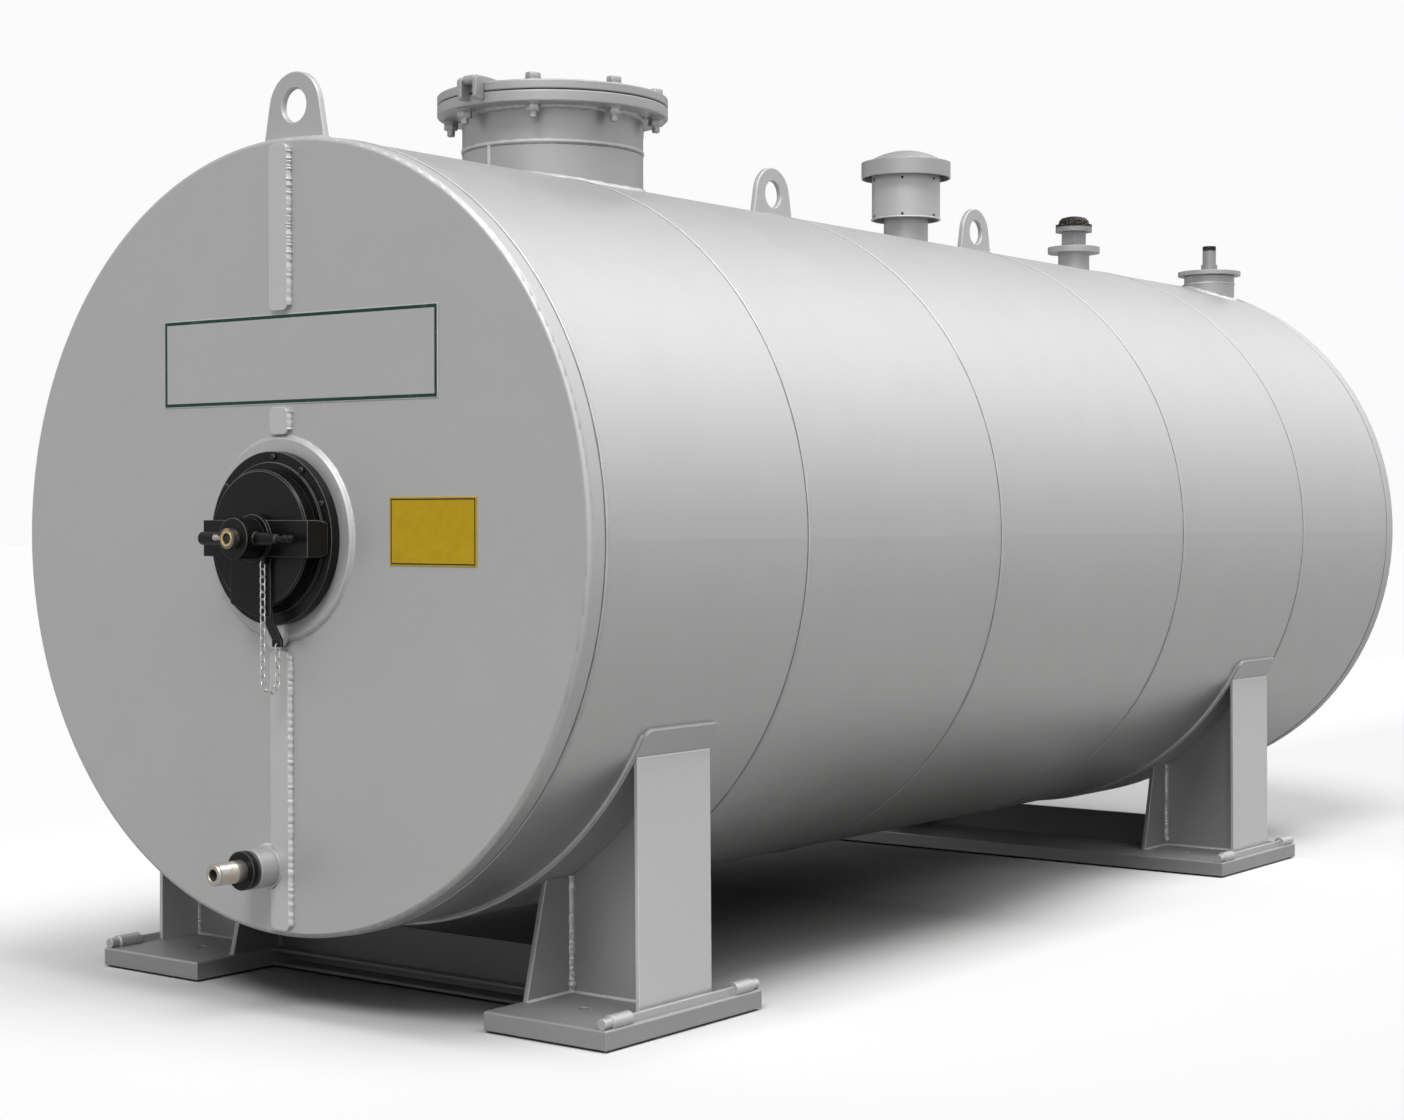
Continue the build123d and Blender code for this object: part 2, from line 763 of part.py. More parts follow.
def hatch_nut():
    """Bright end nut of the clamp screw."""
    floor = nut_front - nut_bore_depth
    return hatch_part([
        (0, hub_front), (nut_radius, hub_front), (nut_radius, nut_front),
        (nut_bore_radius, nut_front), (nut_bore_radius, floor), (0, floor),
    ])


def hatch_arm():
    """Hinge arm on the cap: a plate on its face and a tongue bent back to the chain's end eye."""
    plate_front = hatch_cap_face + arm_thickness
    top = axis_height - yoke_height / 2 - arm_top_gap
    foot = axis_height - arm_foot_drop
    plate = outline([
        (-arm_left, top), (arm_right, top), (arm_right, foot),
        (arm_slope_run - arm_left, foot), (-arm_left, foot + arm_slope_rise),
    ])
    arm = extrude(across(out(hatch_cap_face)) * plate, arm_thickness)
    eye_back = chain_end_out - eye_thickness / 2
    eye_front = chain_end_out + eye_thickness / 2
    hole_drop = chain_end_drop - link_lead
    eye_top = axis_height - hole_drop + eye_margin
    eye_low = axis_height - hole_drop - eye_margin
    side = [
        (out(plate_front), foot + tongue_overlap), (out(hatch_cap_face), foot + tongue_overlap),
        (out(hatch_cap_face), foot), (out(eye_back), eye_top), (out(eye_back), eye_low),
        (out(eye_front), eye_low), (out(eye_front), eye_top), (out(plate_front), foot),
    ]
    tongue = extrude(along(chain_offset) * outline(side), tongue_width / 2, both=True)
    return arm + tongue - eye_hole(chain_end_out, hole_drop)


def hatch_tab():
    """Tab under the hatch flange, with a round lower end."""
    low = hatch_pad_od / 2 + tab_overhang
    round_drop = low - tab_width / 2
    plane = across(out(hatch_pad_thickness))
    shape = Pos(0, axis_height - round_drop) * Circle(tab_width / 2)
    upright = outline([
        (-tab_width / 2, axis_height - low + tab_length), (tab_width / 2, axis_height - low + tab_length),
        (tab_width / 2, axis_height - round_drop), (-tab_width / 2, axis_height - round_drop),
    ])
    tab = extrude(plane * (shape + upright), tab_thickness)
    centre = (0, front_face, axis_height)
    return tab - bar(hatch_flange_od / 2 + seat_gap, centre, (0, out(hatch_cap_face), axis_height))


def chain_pivots():
    """Places where neighbouring links meet: down from the yoke, round the bight and up to the arm."""
    pivots = []
    for step in range(links_down):
        pivots.append((chain_start_out, chain_start_drop + step * link_pitch))
    centre_out = chain_start_out - chain_turn_radius
    centre_drop = chain_start_drop + links_down * link_pitch
    for step in range(links_round):
        angle = pi * step / links_round
        pivots.append((centre_out + chain_turn_radius * cos(angle),
                       centre_drop + chain_turn_radius * sin(angle)))
    for step in range(links_up + 1):
        pivots.append((chain_end_out, centre_drop - step * link_pitch))
    return pivots


def chain_link(middle, run, side):
    """One link: a six-sided wire along a long ring with clipped corners."""
    half_length = (link_length - link_wire) / 2
    half_width = (link_width - link_wire) / 2
    clip = half_width * (2 - sqrt(2))
    plane = Plane(origin=middle, x_dir=run, z_dir=side)
    corners = [
        (half_length - clip, half_width), (half_length, half_width - clip),
        (half_length, clip - half_width), (half_length - clip, -half_width),
        (clip - half_length, -half_width), (-half_length, clip - half_width),
        (-half_length, half_width - clip), (clip - half_length, half_width),
    ]
    start = (0, half_width)
    path = plane * Polyline(start, *corners, start)
    section_plane = Plane(origin=plane.from_local_coords((*start, 0)), x_dir=side, z_dir=run)
    section = section_plane * RegularPolygon(link_wire / 2, wire_sides)
    return sweep(section, path=path, transition=Transition.RIGHT)


def keeper_chain():
    """Chain of real links, each turned a quarter turn from the one before it."""
    pivots = chain_pivots()
    links = []
    for count, (first, second) in enumerate(zip(pivots, pivots[1:])):
        start = Vector(chain_offset, out(first[0]), axis_height - first[1])
        end = Vector(chain_offset, out(second[0]), axis_height - second[1])
        run = (end - start).normalized()
        flat = Vector(1, 0, 0)
        side = flat if count % 2 == 0 else flat.cross(run)
        links.append(chain_link((start + end) / 2, run, side))
    return group(links)


def wear_plate(place):
    """Curved plate between the shell and a saddle, with round corners at its horns."""
    reach = 2 * wear_radius
    wedge = [(0, 0)]
    for share in wedge_shares:
        angle = radians(wear_half_angle * share)
        wedge.append((reach * sin(angle), -reach * cos(angle)))
    band = Circle(wear_radius) - Circle(tank_radius + seat_gap)
    plane = Plane(origin=(0, station(place), axis_height), x_dir=(1, 0, 0), z_dir=(0, -1, 0))
    plate = extrude(plane * (band & outline(wedge)), wear_width / 2, both=True)
    corners = [edge for edge in plate.edges() if abs(edge.length - wear_thickness) < seat_gap]
    return fillet(corners, wear_corner)


def upright_slope(foot):
    """X of a leaning upright face where it meets the level of the tank's axis."""
    return foot - end_plate_lean


def end_plates(place):
    """Outer end plates of a saddle, leaning in a little towards the top."""
    inner = end_plate_foot - end_plate_thickness
    shape = outline([
        (inner, base_thickness), (end_plate_foot, base_thickness),
        (upright_slope(end_plate_foot), axis_height), (upright_slope(inner), axis_height),
    ])
    plate = extrude(across(station(place)) * shape, end_plate_width / 2, both=True)
    return group(both_sides(plate - tank_block(saddle_seat)))


def saddle_webs(place):
    """Upright plates across the tank: one in each foot, and a low one between the feet."""
    inner = gusset_inside + gusset_thickness
    outer = end_plate_foot - end_plate_thickness
    shape = outline([
        (inner, base_thickness), (outer, base_thickness),
        (upright_slope(outer), axis_height), (inner, axis_height),
    ])
    web = extrude(across(station(place)) * shape, web_thickness / 2, both=True) - tank_block(saddle_seat)
    low = brick((-gusset_inside, station(place) - web_thickness / 2, base_thickness),
                (gusset_inside, station(place) + web_thickness / 2, cross_web_top))
    return group(both_sides(web) + [low])


def gussets(place):
    """Tapered plates along the tank at the inner side of each foot."""
    outer = gusset_inside + gusset_thickness
    top = axis_height - sqrt(saddle_seat ** 2 - outer ** 2)
    shape = outline([
        (station(place) - gusset_foot_width / 2, base_thickness),
        (station(place) + gusset_foot_width / 2, base_thickness),
        (station(place) + gusset_top_width / 2, top),
        (station(place) - gusset_top_width / 2, top),
    ])
    plate = extrude(along(gusset_inside) * shape, gusset_thickness) - tank_block(saddle_seat)
    return group(both_sides(plate))


def anchor_holes(place):
    """Cuts for the anchor bolts of one saddle."""
    holes = []
    for x in (-anchor_spacing_x / 2, anchor_spacing_x / 2):
        for y in (-anchor_spacing_y / 2, anchor_spacing_y / 2):
            spot = station(place) + y
            top = (x, spot, base_thickness + cut_overrun)
            holes.append(bar(anchor_hole_radius, (x, spot, -cut_overrun), top))
    return holes


def eased_top(plate):
    """A base plate with its upper edges eased."""
    return chamfer(plate.edges().group_by(Axis.Z)[-1], base_edge)


def front_base_plates():
    """Two separate thick base plates under the front saddle."""
    low_y = station(front_saddle_station) - base_width / 2
    plate = eased_top(brick((base_inside, low_y, 0), (base_outside, low_y + base_width, base_thickness)))
    return group([side - anchor_holes(front_saddle_station) for side in both_sides(plate)])


def rear_base_plate():
    """One long thick base plate under the rear saddle."""
    low_y = station(rear_saddle_station) - base_width / 2
    plate = eased_top(brick((-base_outside, low_y, 0), (base_outside, low_y + base_width, base_thickness)))
    return plate - anchor_holes(rear_saddle_station)


def cross_channel():
    """Channel bar between the front base plates, open to the front."""
    front = station(front_saddle_station) - channel_width / 2
    back = front + channel_width
    shape = outline([
        (front, 0), (back, 0), (back, base_thickness), (front, base_thickness),
        (front, base_thickness - channel_wall), (back - channel_wall, base_thickness - channel_wall),
        (back - channel_wall, channel_wall), (front, channel_wall),
    ])
    return extrude(along(0) * shape, base_inside, both=True)


def tie_rod(place):
    """Flat bar along the outer edge of one foot, with a stepped barrel at each corner, flat underneath."""
    x = (end_plate_foot + base_outside) / 2
    z = base_thickness + tie_barrel_rise
    front = station(place) - base_width / 2 + base_edge
    back = station(place) + base_width / 2 - base_edge
    rod = brick((x - tie_bar_thickness / 2, front + tie_barrel_length / 2, base_thickness),
                (x + tie_bar_thickness / 2, back - tie_barrel_length / 2, base_thickness + tie_bar_height))
    for end, inward in ((front, 1), (back, -1)):
        step = end + inward * tie_nub_length
        tail = end + inward * tie_barrel_length
        barrel = bar(tie_nub_radius, (x, end, z), (x, step, z))
        barrel += bar(tie_barrel_radius, (x, step, z), (x, tail, z))
        below = brick((x - tie_barrel_radius, min(end, tail), 0),
                      (x + tie_barrel_radius, max(end, tail), base_thickness))
        rod += barrel - below
    return rod


def tie_rods():
    """Tie rods of all four feet."""
    rods = []
    for place in saddle_stations:
        rods += both_sides(tie_rod(place))
    return group(rods)


nodes = {
    "front_head": head(front_face, 1, hatch_bore / 2),
    "rear_head": head(rear_face, -1, 0),
    "shell_course_1": course(head_flange, first_seam),
    "shell_course_2": course(first_seam, second_seam),
    "shell_course_3": course(second_seam, third_seam),
    "shell_course_4": course(third_seam, fourth_seam),
    "shell_course_5": course(fourth_seam, last_seam),
    "girth_seams": girth_seams(),
    "front_strap": front_strap(),
    "rear_strap": rear_strap(),
    "lifting_lugs": lifting_lugs(),
    "manhole_neck": manhole_neck(),
    "manhole_flange": manhole_flange(),
    "manhole_gasket": manhole_gasket(),
    "manhole_cover": manhole_cover(),
    "cover_hinge": cover_hinge(),
    "vent_neck": vent_neck(),
    "vent_drum": vent_drum(),
    "vent_cap": vent_cap(),
    "breather_neck": breather_neck(),
    "breather_valve": breather_valve(),
    "gauge_neck": gauge_neck(),
    "gauge_stub": gauge_stub(),
    "drain_collar": drain_collar(),
    "drain_ring": drain_ring(),
    "drain_nipple": drain_nipple(),
    "hatch_pad": hatch_pad(),
    "hatch_flange": hatch_flange(),
    "hatch_cap": hatch_cap(),
    "hatch_yoke": hatch_yoke(),
    "hatch_screw": hatch_screw(),
    "hatch_nut": hatch_nut(),
    "hatch_arm": hatch_arm(),
    "hatch_tab": hatch_tab(),
    "keeper_chain": keeper_chain(),
    "front_wear_plate": wear_plate(front_saddle_station),
    "front_end_plates": end_plates(front_saddle_station),
    "front_webs": saddle_webs(front_saddle_station),
    "front_gussets": gussets(front_saddle_station),
    "front_base_plates": front_base_plates(),
    "cross_channel": cross_channel(),
    "rear_wear_plate": wear_plate(rear_saddle_station),
    "rear_end_plates": end_plates(rear_saddle_station),
    "rear_webs": saddle_webs(rear_saddle_station),
    "rear_gussets": gussets(rear_saddle_station),
    "rear_base_plate": rear_base_plate(),
    "tie_rods": tie_rods(),
}

os.makedirs("parts", exist_ok=True)
for name, shape in nodes.items():
    export_step(shape, f"parts/{name}.step")
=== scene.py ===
"""Dressed visual model of a horizontal diesel tank on saddles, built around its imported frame."""

import bmesh
import bpy
import numpy as np
from bpy.props import FloatProperty, FloatVectorProperty, IntProperty, PointerProperty
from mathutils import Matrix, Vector


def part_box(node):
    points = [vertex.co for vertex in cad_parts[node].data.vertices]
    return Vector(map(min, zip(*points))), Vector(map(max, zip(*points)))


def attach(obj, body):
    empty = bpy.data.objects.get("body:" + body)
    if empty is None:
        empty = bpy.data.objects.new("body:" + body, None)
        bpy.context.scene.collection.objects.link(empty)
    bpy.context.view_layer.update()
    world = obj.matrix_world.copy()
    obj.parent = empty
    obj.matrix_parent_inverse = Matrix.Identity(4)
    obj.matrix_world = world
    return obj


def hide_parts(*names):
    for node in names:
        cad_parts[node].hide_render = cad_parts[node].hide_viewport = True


bl_info = {
    "name": "Diesel tank dressing",
    "version": (1, 0, 0),
    "blender": (4, 5, 0),
    "location": "View3D > Sidebar > Tank",
    "description": "Adds finishes, welds, bolts, plates and a studio to the packed diesel tank",
    "category": "Object",
}

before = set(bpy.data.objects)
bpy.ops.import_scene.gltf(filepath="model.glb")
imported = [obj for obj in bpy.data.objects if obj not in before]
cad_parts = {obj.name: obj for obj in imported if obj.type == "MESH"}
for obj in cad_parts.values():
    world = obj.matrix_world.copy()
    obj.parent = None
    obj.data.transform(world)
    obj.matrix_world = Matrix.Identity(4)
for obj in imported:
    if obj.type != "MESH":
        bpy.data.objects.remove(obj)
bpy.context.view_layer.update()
TANK = "tank"
SCREW = "clamp_screw"
TAU = 2 * np.pi
# Directions across the tank, along it and up
ACROSS, ALONG, UP = np.eye(3)

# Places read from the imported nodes, in metres
HEAD_LOW, HEAD_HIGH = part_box("front_head")
AXIS_Z = (HEAD_LOW.z + HEAD_HIGH.z) / 2
SHELL_R = (HEAD_HIGH.z - HEAD_LOW.z) / 2
FRONT_Y = HEAD_LOW.y
REAR_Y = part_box("rear_head")[1].y
SHELL_TOP = AXIS_Z + SHELL_R

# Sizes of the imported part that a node's box does not show, in metres
LUG_STATIONS = (0.060, 2.3306, 3.735)
LUG_HALF_THICK, LUG_HALF_BASE = 0.010, 0.119
BREATHER_FLANGE, GAUGE_FLANGE = 0.044, 0.027
DRAIN_RADIUS = 0.061
WEB_HALF_THICK, END_PLATE_THICK, END_PLATE_LEAN = 0.008, 0.012, 0.0055
WEAR_HALF_ANGLE = np.radians(63.0)
HATCH_FACE, HATCH_BOLT_CIRCLE = 0.042, 0.223

# Steps of the weld paths and sides of the beads
PATH_STEP, SEAM_STEP, WEAR_STEP, BEAD_SIDES = 0.004, 0.006, 0.00517, 8

# Bare plates on the front head: middle across and above the axis, and half sizes
SIGN_CENTRE, SIGN_HALF = (0.0545, AXIS_Z + 0.4925), (0.5345, 0.124)
LABEL_CENTRE, LABEL_HALF = (0.569, AXIS_Z + 0.020), (0.155, 0.091)

# Camera that was fitted to the photograph
CAMERA_PLACE = (4.858, FRONT_Y - 4.540, AXIS_Z + 0.060)
CAMERA_DIP, CAMERA_TURN = 1.05, 36.92
CAMERA_LENS, CAMERA_SENSOR = 61.0, 36.0


def middle(node):
    """Centre of a node's box and half its width."""
    low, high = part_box(node)
    return (low + high) / 2, (high.x - low.x) / 2


class Shape:
    """Collects surfaces given as grids of points and turns them into one mesh."""

    def __init__(self):
        self.points = []
        self.quads = []
        self.count = 0

    def grid(self, xyz, wrap_u=False, wrap_v=False):
        """Adds an n by m grid of points, joined in quads; a wrapped side closes on itself."""
        xyz = np.asarray(xyz, float)
        rows, columns = xyz.shape[:2]
        index = np.arange(rows * columns).reshape(rows, columns) + self.count
        if wrap_u:
            index = np.vstack([index, index[:1]])
        if wrap_v:
            index = np.hstack([index, index[:, :1]])
        corners = (index[:-1, :-1], index[1:, :-1], index[1:, 1:], index[:-1, 1:])
        self.quads.append(np.stack(corners, -1).reshape(-1, 4))
        self.points.append(xyz.reshape(-1, 3))
        self.count += rows * columns
        return self

    def weld(self, path, up, width, height, pitch=0.011, seed=1, closed=False, ripple=0.09):
        """Adds a weld bead: an ellipse carried along a path, swelling and shrinking with the weld's ripple.

        point(s, v) = path(s) + side(s) * width * wave(s) * cos v + up(s) * height * wave(s) * sin v,
        where wave(s) is an uneven ripple of about the given pitch with a slow random drift.
        """
        if closed:
            ahead, behind = np.roll(path, -1, axis=0), np.roll(path, 1, axis=0)
            steps, tangent = ahead - path, unit(ahead - behind)
        else:
            steps, tangent = np.diff(path, axis=0, append=path[-1:]), unit(np.gradient(path, axis=0))
        steps = np.linalg.norm(steps, axis=1)
        along = np.concatenate([[0.0], np.cumsum(steps)[:-1]])
        total = max(along[-1] + steps[-1], pitch)
        turns = max(round(total / pitch), 1)
        rng = np.random.default_rng(seed)

        def waves(count, numbers, sizes):
            """Sum of sine waves along the path, each of a random number, size and start."""
            heights = np.zeros(len(path))
            for number, size in zip(rng.integers(*numbers, count), rng.uniform(*sizes, count)):
                heights += size * np.sin(number * TAU * along / total + rng.uniform(0, TAU))
            return heights

        drift = waves(8, (2, 60), (0.02, 0.07))
        phase = TAU * turns * along / total + waves(6, (turns // 6 + 1, turns // 2 + 3), (0.3, 0.9))
        wave = (0.9 + drift + ripple * np.abs(np.sin(phase / 2)))[:, None]
        angle = np.linspace(0, TAU, BEAD_SIDES, endpoint=False)
        across = unit(np.cross(tangent, up))[:, None] * (width * wave * np.cos(angle))[..., None]
        rows = path[:, None] + across + up[:, None] * (height * wave * np.sin(angle))[..., None]
        if not closed:
            first, last = (np.repeat(end[:, None], BEAD_SIDES, 1) for end in (path[:1], path[-1:]))
            rows = np.concatenate([first, rows, last])
        return self.grid(rows, closed, True)

    def turn(self, profile, centre, axis, sides, spin=0.0):
        """Adds a surface of revolution: point(u, v) = centre + axis * height(u) + radius(u) * (cos v, sin v)."""
        axis = unit(np.asarray(axis, float))
        first = unit(np.cross(axis, UP if abs(axis[2]) < 0.9 else ACROSS))
        ring = around(np.linspace(0, TAU, sides, endpoint=False) + spin, first, np.cross(axis, first))
        profile = np.asarray(profile, float)[:, None]
        rows = np.asarray(centre, float) + profile[..., 1:] * axis + profile[..., :1] * ring
        return self.grid(rows, False, True)

    def piece(self, name, finish, body=TANK, slot="silver_paint", flat_angle=35.0):
        """Makes the mesh, welds its seams and poles, turns faces outwards and rides it on a body."""
        same_point, no_length = 2e-6, 1e-7
        mesh = bpy.data.meshes.new(name)
        mesh.from_pydata(np.vstack(self.points).tolist(), [], np.vstack(self.quads).tolist())
        work = bmesh.new()
        work.from_mesh(mesh)
        bmesh.ops.remove_doubles(work, verts=work.verts, dist=same_point)
        bmesh.ops.dissolve_degenerate(work, edges=work.edges, dist=no_length)
        bmesh.ops.recalc_face_normals(work, faces=work.faces)
        work.to_mesh(mesh)
        work.free()
        mesh.shade_smooth()
        mesh.set_sharp_from_angle(angle=np.radians(flat_angle))
        mesh.materials.append(finishes()[finish])
        piece = bpy.data.objects.new(name, mesh)
        bpy.context.scene.collection.objects.link(piece)
        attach(piece, body)
        return piece


def unit(vectors):
    """Vectors of length one, row by row."""
    return vectors / np.linalg.norm(vectors, axis=-1, keepdims=True)


def around(angle, first, second):
    """Directions at angles turned from a first direction towards a second."""
    return np.cos(angle)[:, None] * first + np.sin(angle)[:, None] * second


def slab(low, high, ease):
    """Closed block with eased edges: square rings stacked from the bottom face's middle to the top one's."""
    low, high = np.asarray(low, float), np.asarray(high, float)
    centre, half = (low + high) / 2, (high - low) / 2
    levels = np.array([-half[2], -half[2], -half[2] + ease, half[2] - ease, half[2], half[2]])
    inset = np.array([half[:2].min(), ease, 0.0, 0.0, ease, half[:2].min()])
    reach = np.maximum(half[:2][None] - inset[:, None], 0.0)
    signs = np.array([(-1, -1), (1, -1), (1, 1), (-1, 1)], float)
    ring = reach[:, None, :] * signs[None]
    height = np.repeat(levels[:, None, None], 4, axis=1)
    return centre + np.concatenate([ring, height], axis=-1)


def line(start, end):
    """Straight path from one point to another, in even steps."""
    start, end = np.asarray(start, float), np.asarray(end, float)
    count = max(int(np.linalg.norm(end - start) / PATH_STEP), 3)
    return start + np.linspace(0, 1, count)[:, None] * (end - start)


def same(direction, path):
    """One direction repeated for each point of a path."""
    return np.repeat(unit(np.asarray(direction, float))[None], len(path), axis=0)


def arc(centre, radius, first=ACROSS, second=ALONG, start=0.0, end=TAU, step=PATH_STEP):
    """Round path in even steps, level unless other directions are given, with its outward directions."""
    angle = np.linspace(start, end, int((end - start) * radius / step), endpoint=end - start < TAU)
    outward = around(angle, first, second)
    return np.asarray(centre, float) + radius * outward, outward


def operation(name, swapped=False):
    """Operator of a value: it adds one Math node."""
    def method(value, other=0.0):
        return value.nodes.math(name, other, value) if swapped else value.nodes.math(name, value, other)
    return method


class Value:
    """A node socket that takes part in sums."""

    def __init__(self, nodes, socket):
        self.nodes, self.socket = nodes, socket

    __add__ = __radd__ = operation("ADD")
    __mul__ = __rmul__ = operation("MULTIPLY")
    __sub__, __rsub__ = operation("SUBTRACT"), operation("SUBTRACT", swapped=True)
    __gt__, __lt__ = operation("GREATER_THAN"), operation("LESS_THAN")
    __abs__ = operation("ABSOLUTE")


class Nodes:
    """A node tree written as expressions over its own sockets."""

    def __init__(self, tree, place):
        self.tree = tree
        tree.nodes.clear()
        self.place = self.node("ShaderNodeTexCoord", {}, {}, place)

    def node(self, kind, settings, inputs, output=0):
        """One node with its settings, then the values or links of its sockets."""
        node = self.tree.nodes.new(kind)
        for key, setting in settings.items():
            if key == "stops":
                self._stops(node.color_ramp, setting)
            else:
                setattr(node, key, setting)
        for key, value in inputs.items():
            self._join(node.inputs[key], value)
        return Value(self, node.outputs[output])

    def _stops(self, ramp, stops):
        while len(ramp.elements) < len(stops):
            ramp.elements.new(1.0)
        for element, (place, grey) in zip(ramp.elements, stops):
            element.position = place
            element.color = (grey, grey, grey, 1.0)

    def _join(self, socket, value):
        if isinstance(value, Value):
            self.tree.links.new(value.socket, socket)
        elif hasattr(value, "__len__") and len(value) == 3 and socket.type == "RGBA":
            socket.default_value = (*value, 1.0)
        else:
            socket.default_value = value

    def math(self, operation, first, second):
        return self.node("ShaderNodeMath", {"operation": operation}, {0: first, 1: second})

    def dot(self, first, second):
        return self.node("ShaderNodeVectorMath", {"operation": "DOT_PRODUCT"}, {0: first, 1: second}, "Value")

    def axis(self, name):
        return self.node("ShaderNodeSeparateXYZ", {}, {0: self.place}, name)

    def ray(self, kind):
        return self.node("ShaderNodeLightPath", {}, {}, f"Is {kind} Ray")

    def ramp(self, factor, stops):
        return self.node("ShaderNodeValToRGB", {"stops": stops}, {0: factor})

    def rise(self, factor, low, high):
        """Zero up to the low value, one from the high value on."""
        return self.ramp(factor, [(low, 0.0), (high, 1.0)])


class Finish(Nodes):
    """A material with one shader."""

    def __init__(self, name, **constants):
        self.material = bpy.data.materials.new(name)
        self.material.use_nodes = True
        super().__init__(self.material.node_tree, "Object")
        self.shader = self.tree.nodes.new("ShaderNodeBsdfPrincipled")
        output = self.tree.nodes.new("ShaderNodeOutputMaterial")
        self.tree.links.new(self.shader.outputs[0], output.inputs["Surface"])
        self.feed(**constants)

    def feed(self, **inputs):
        """Sets or links the shader's own sockets; names use _ for a space."""
        for key, value in inputs.items():
            self._join(self.shader.inputs[key.replace("_", " ")], value)

    def noise(self, scale, detail=3.0, roughness=0.55, stretch=None):
        place = self.place
        if stretch:
            place = self.node("ShaderNodeMapping", {}, {"Vector": place, "Scale": stretch})
        inputs = {"Vector": place, "Scale": scale, "Detail": detail, "Roughness": roughness}
        return self.node("ShaderNodeTexNoise", {}, inputs, "Fac")

    def mix(self, factor, first, second):
        inputs = {"Factor": factor, 6: first, 7: second}
        return self.node("ShaderNodeMix", {"data_type": "RGBA"}, inputs, 2)

    def frame_mask(self, centre, half, inset, width):
        """One inside a line round a flat plate that faces the front, zero elsewhere."""
        from_x = half[0] - abs(self.axis("X") - centre[0])
        from_z = half[1] - abs(self.axis("Z") - centre[1])
        depth = self.math("MINIMUM", from_x, from_z)
        return (depth > inset) * (depth < inset + width)

    def soft_edge(self, radius):
        """Normal that turns over an edge within a small radius."""
        return self.node("ShaderNodeBevel", {"samples": 4}, {"Radius": radius})

    def edge(self, rounded):
        """One along edges, where the rounded normal leaves the plain one, zero on flat or slowly bent faces."""
        plain = self.node("ShaderNodeNewGeometry", {}, {}, "Normal")
        return self.rise(1 - self.dot(rounded, plain), 0.01, 0.12)

    def bump(self, height, strength, distance, under=None):
        inputs = {"Height": height, "Strength": strength, "Distance": distance}
        if under is not None:
            inputs["Normal"] = under
        return self.node("ShaderNodeBump", {}, inputs)


def shade(tone, share):
    """A tone made paler or darker, no paler than white."""
    return [min(c * share, 1.0) for c in tone]


def silver_finish(name, tone, rough, line_tone=None, line_place=(), painted_shade_within=0.0):
    """Sprayed silver paint: fine flake, orange peel, a slow wave in the plate and faint dull patches.

    A line is painted round a flat plate where a point's distance in from the rim falls between the inset and
    the inset plus the line's width. Painted shade darkens the paint within a distance of the tank's middle plane.
    """
    made = Finish(name, Metallic=0.5, Specular_IOR_Level=0.4)
    patch = made.noise(scale=2.3, detail=5.0, roughness=0.62)
    flake = made.noise(scale=700.0, detail=1.0)
    stain = made.rise(made.noise(scale=7.0, detail=6.0, roughness=0.7), 0.52, 0.78)
    grain = made.rise(made.noise(scale=260.0, detail=2.0, roughness=0.7), 0.35, 0.65)
    colour = made.mix(patch, shade(tone, 0.93), shade(tone, 1.05))
    for amount, share in ((flake * 0.25, 0.78), (stain * 0.12, 0.84), (grain * 0.35, 0.86)):
        colour = made.mix(amount, colour, shade(tone, share))
    # Painted shade: the paint is darker within the given distance of the tank's middle plane
    if painted_shade_within:
        fade = 0.03
        stops = [(painted_shade_within - fade, 0.85), (painted_shade_within, 0.0)]
        inner = made.ramp(abs(made.axis("X")), stops)
        colour = made.mix(inner, colour, shade(tone, 0.15))
    if line_tone:
        mask = made.frame_mask(*line_place)
        wear_and_highlight = made.ramp(made.noise(scale=90.0, detail=5.0, roughness=0.7), [(0.30, 0.75), (0.42, 1.0)])
        colour = made.mix(mask * wear_and_highlight, colour, line_tone)
    soft_edge = made.soft_edge(0.0042)
    # Painted highlight: the paint is made paler along edges
    colour = made.mix(made.edge(soft_edge) * 0.55, colour, shade(tone, 1.7))
    peel = made.bump(made.noise(scale=240.0, detail=2.0), strength=0.14, distance=0.0006, under=soft_edge)
    wave = made.bump(made.noise(scale=3.2, detail=2.0), strength=0.15, distance=0.004, under=peel)
    made.feed(Base_Color=colour, Roughness=rough + patch * 0.08 + stain * 0.08, Normal=wave)


def black_finish(name, tone, wear_and_highlight):
    """Black enamel over a casting: fine grain, grey where dust sits, and a painted highlight that makes it pale
    along the edges.
    """
    made = Finish(name, Specular_IOR_Level=0.15)
    grain = made.noise(scale=420.0)
    dust = made.rise(made.noise(scale=22.0, detail=6.0, roughness=0.7), 0.45, 0.8)
    colour = made.mix(dust * 0.35, tone, [c + 0.004 for c in shade(tone, 2.1)])
    soft_edge = made.soft_edge(0.0035)
    # Painted highlight: pale along the edges
    colour = made.mix(made.edge(soft_edge) * 0.8, colour, wear_and_highlight)
    cast = made.bump(grain, strength=0.14, distance=0.0005, under=soft_edge)
    made.feed(Base_Color=colour, Roughness=0.30 + dust * 0.14, Normal=cast)


def steel_finish(name, tone, warm, rough):
    """Bare turned steel with brownish glints and fine scratches."""
    made = Finish(name, Metallic=0.85)
    tint = made.rise(made.noise(scale=60.0, detail=5.0, roughness=0.65), 0.50, 0.74)
    scratch = made.noise(scale=1.0, stretch=(900.0, 120.0, 900.0))
    lines = made.bump(scratch, strength=0.12, distance=0.0004, under=made.soft_edge(0.0012))
    made.feed(Base_Color=made.mix(tint, tone, warm), Roughness=rough + tint * 0.12 + scratch * 0.08, Normal=lines)


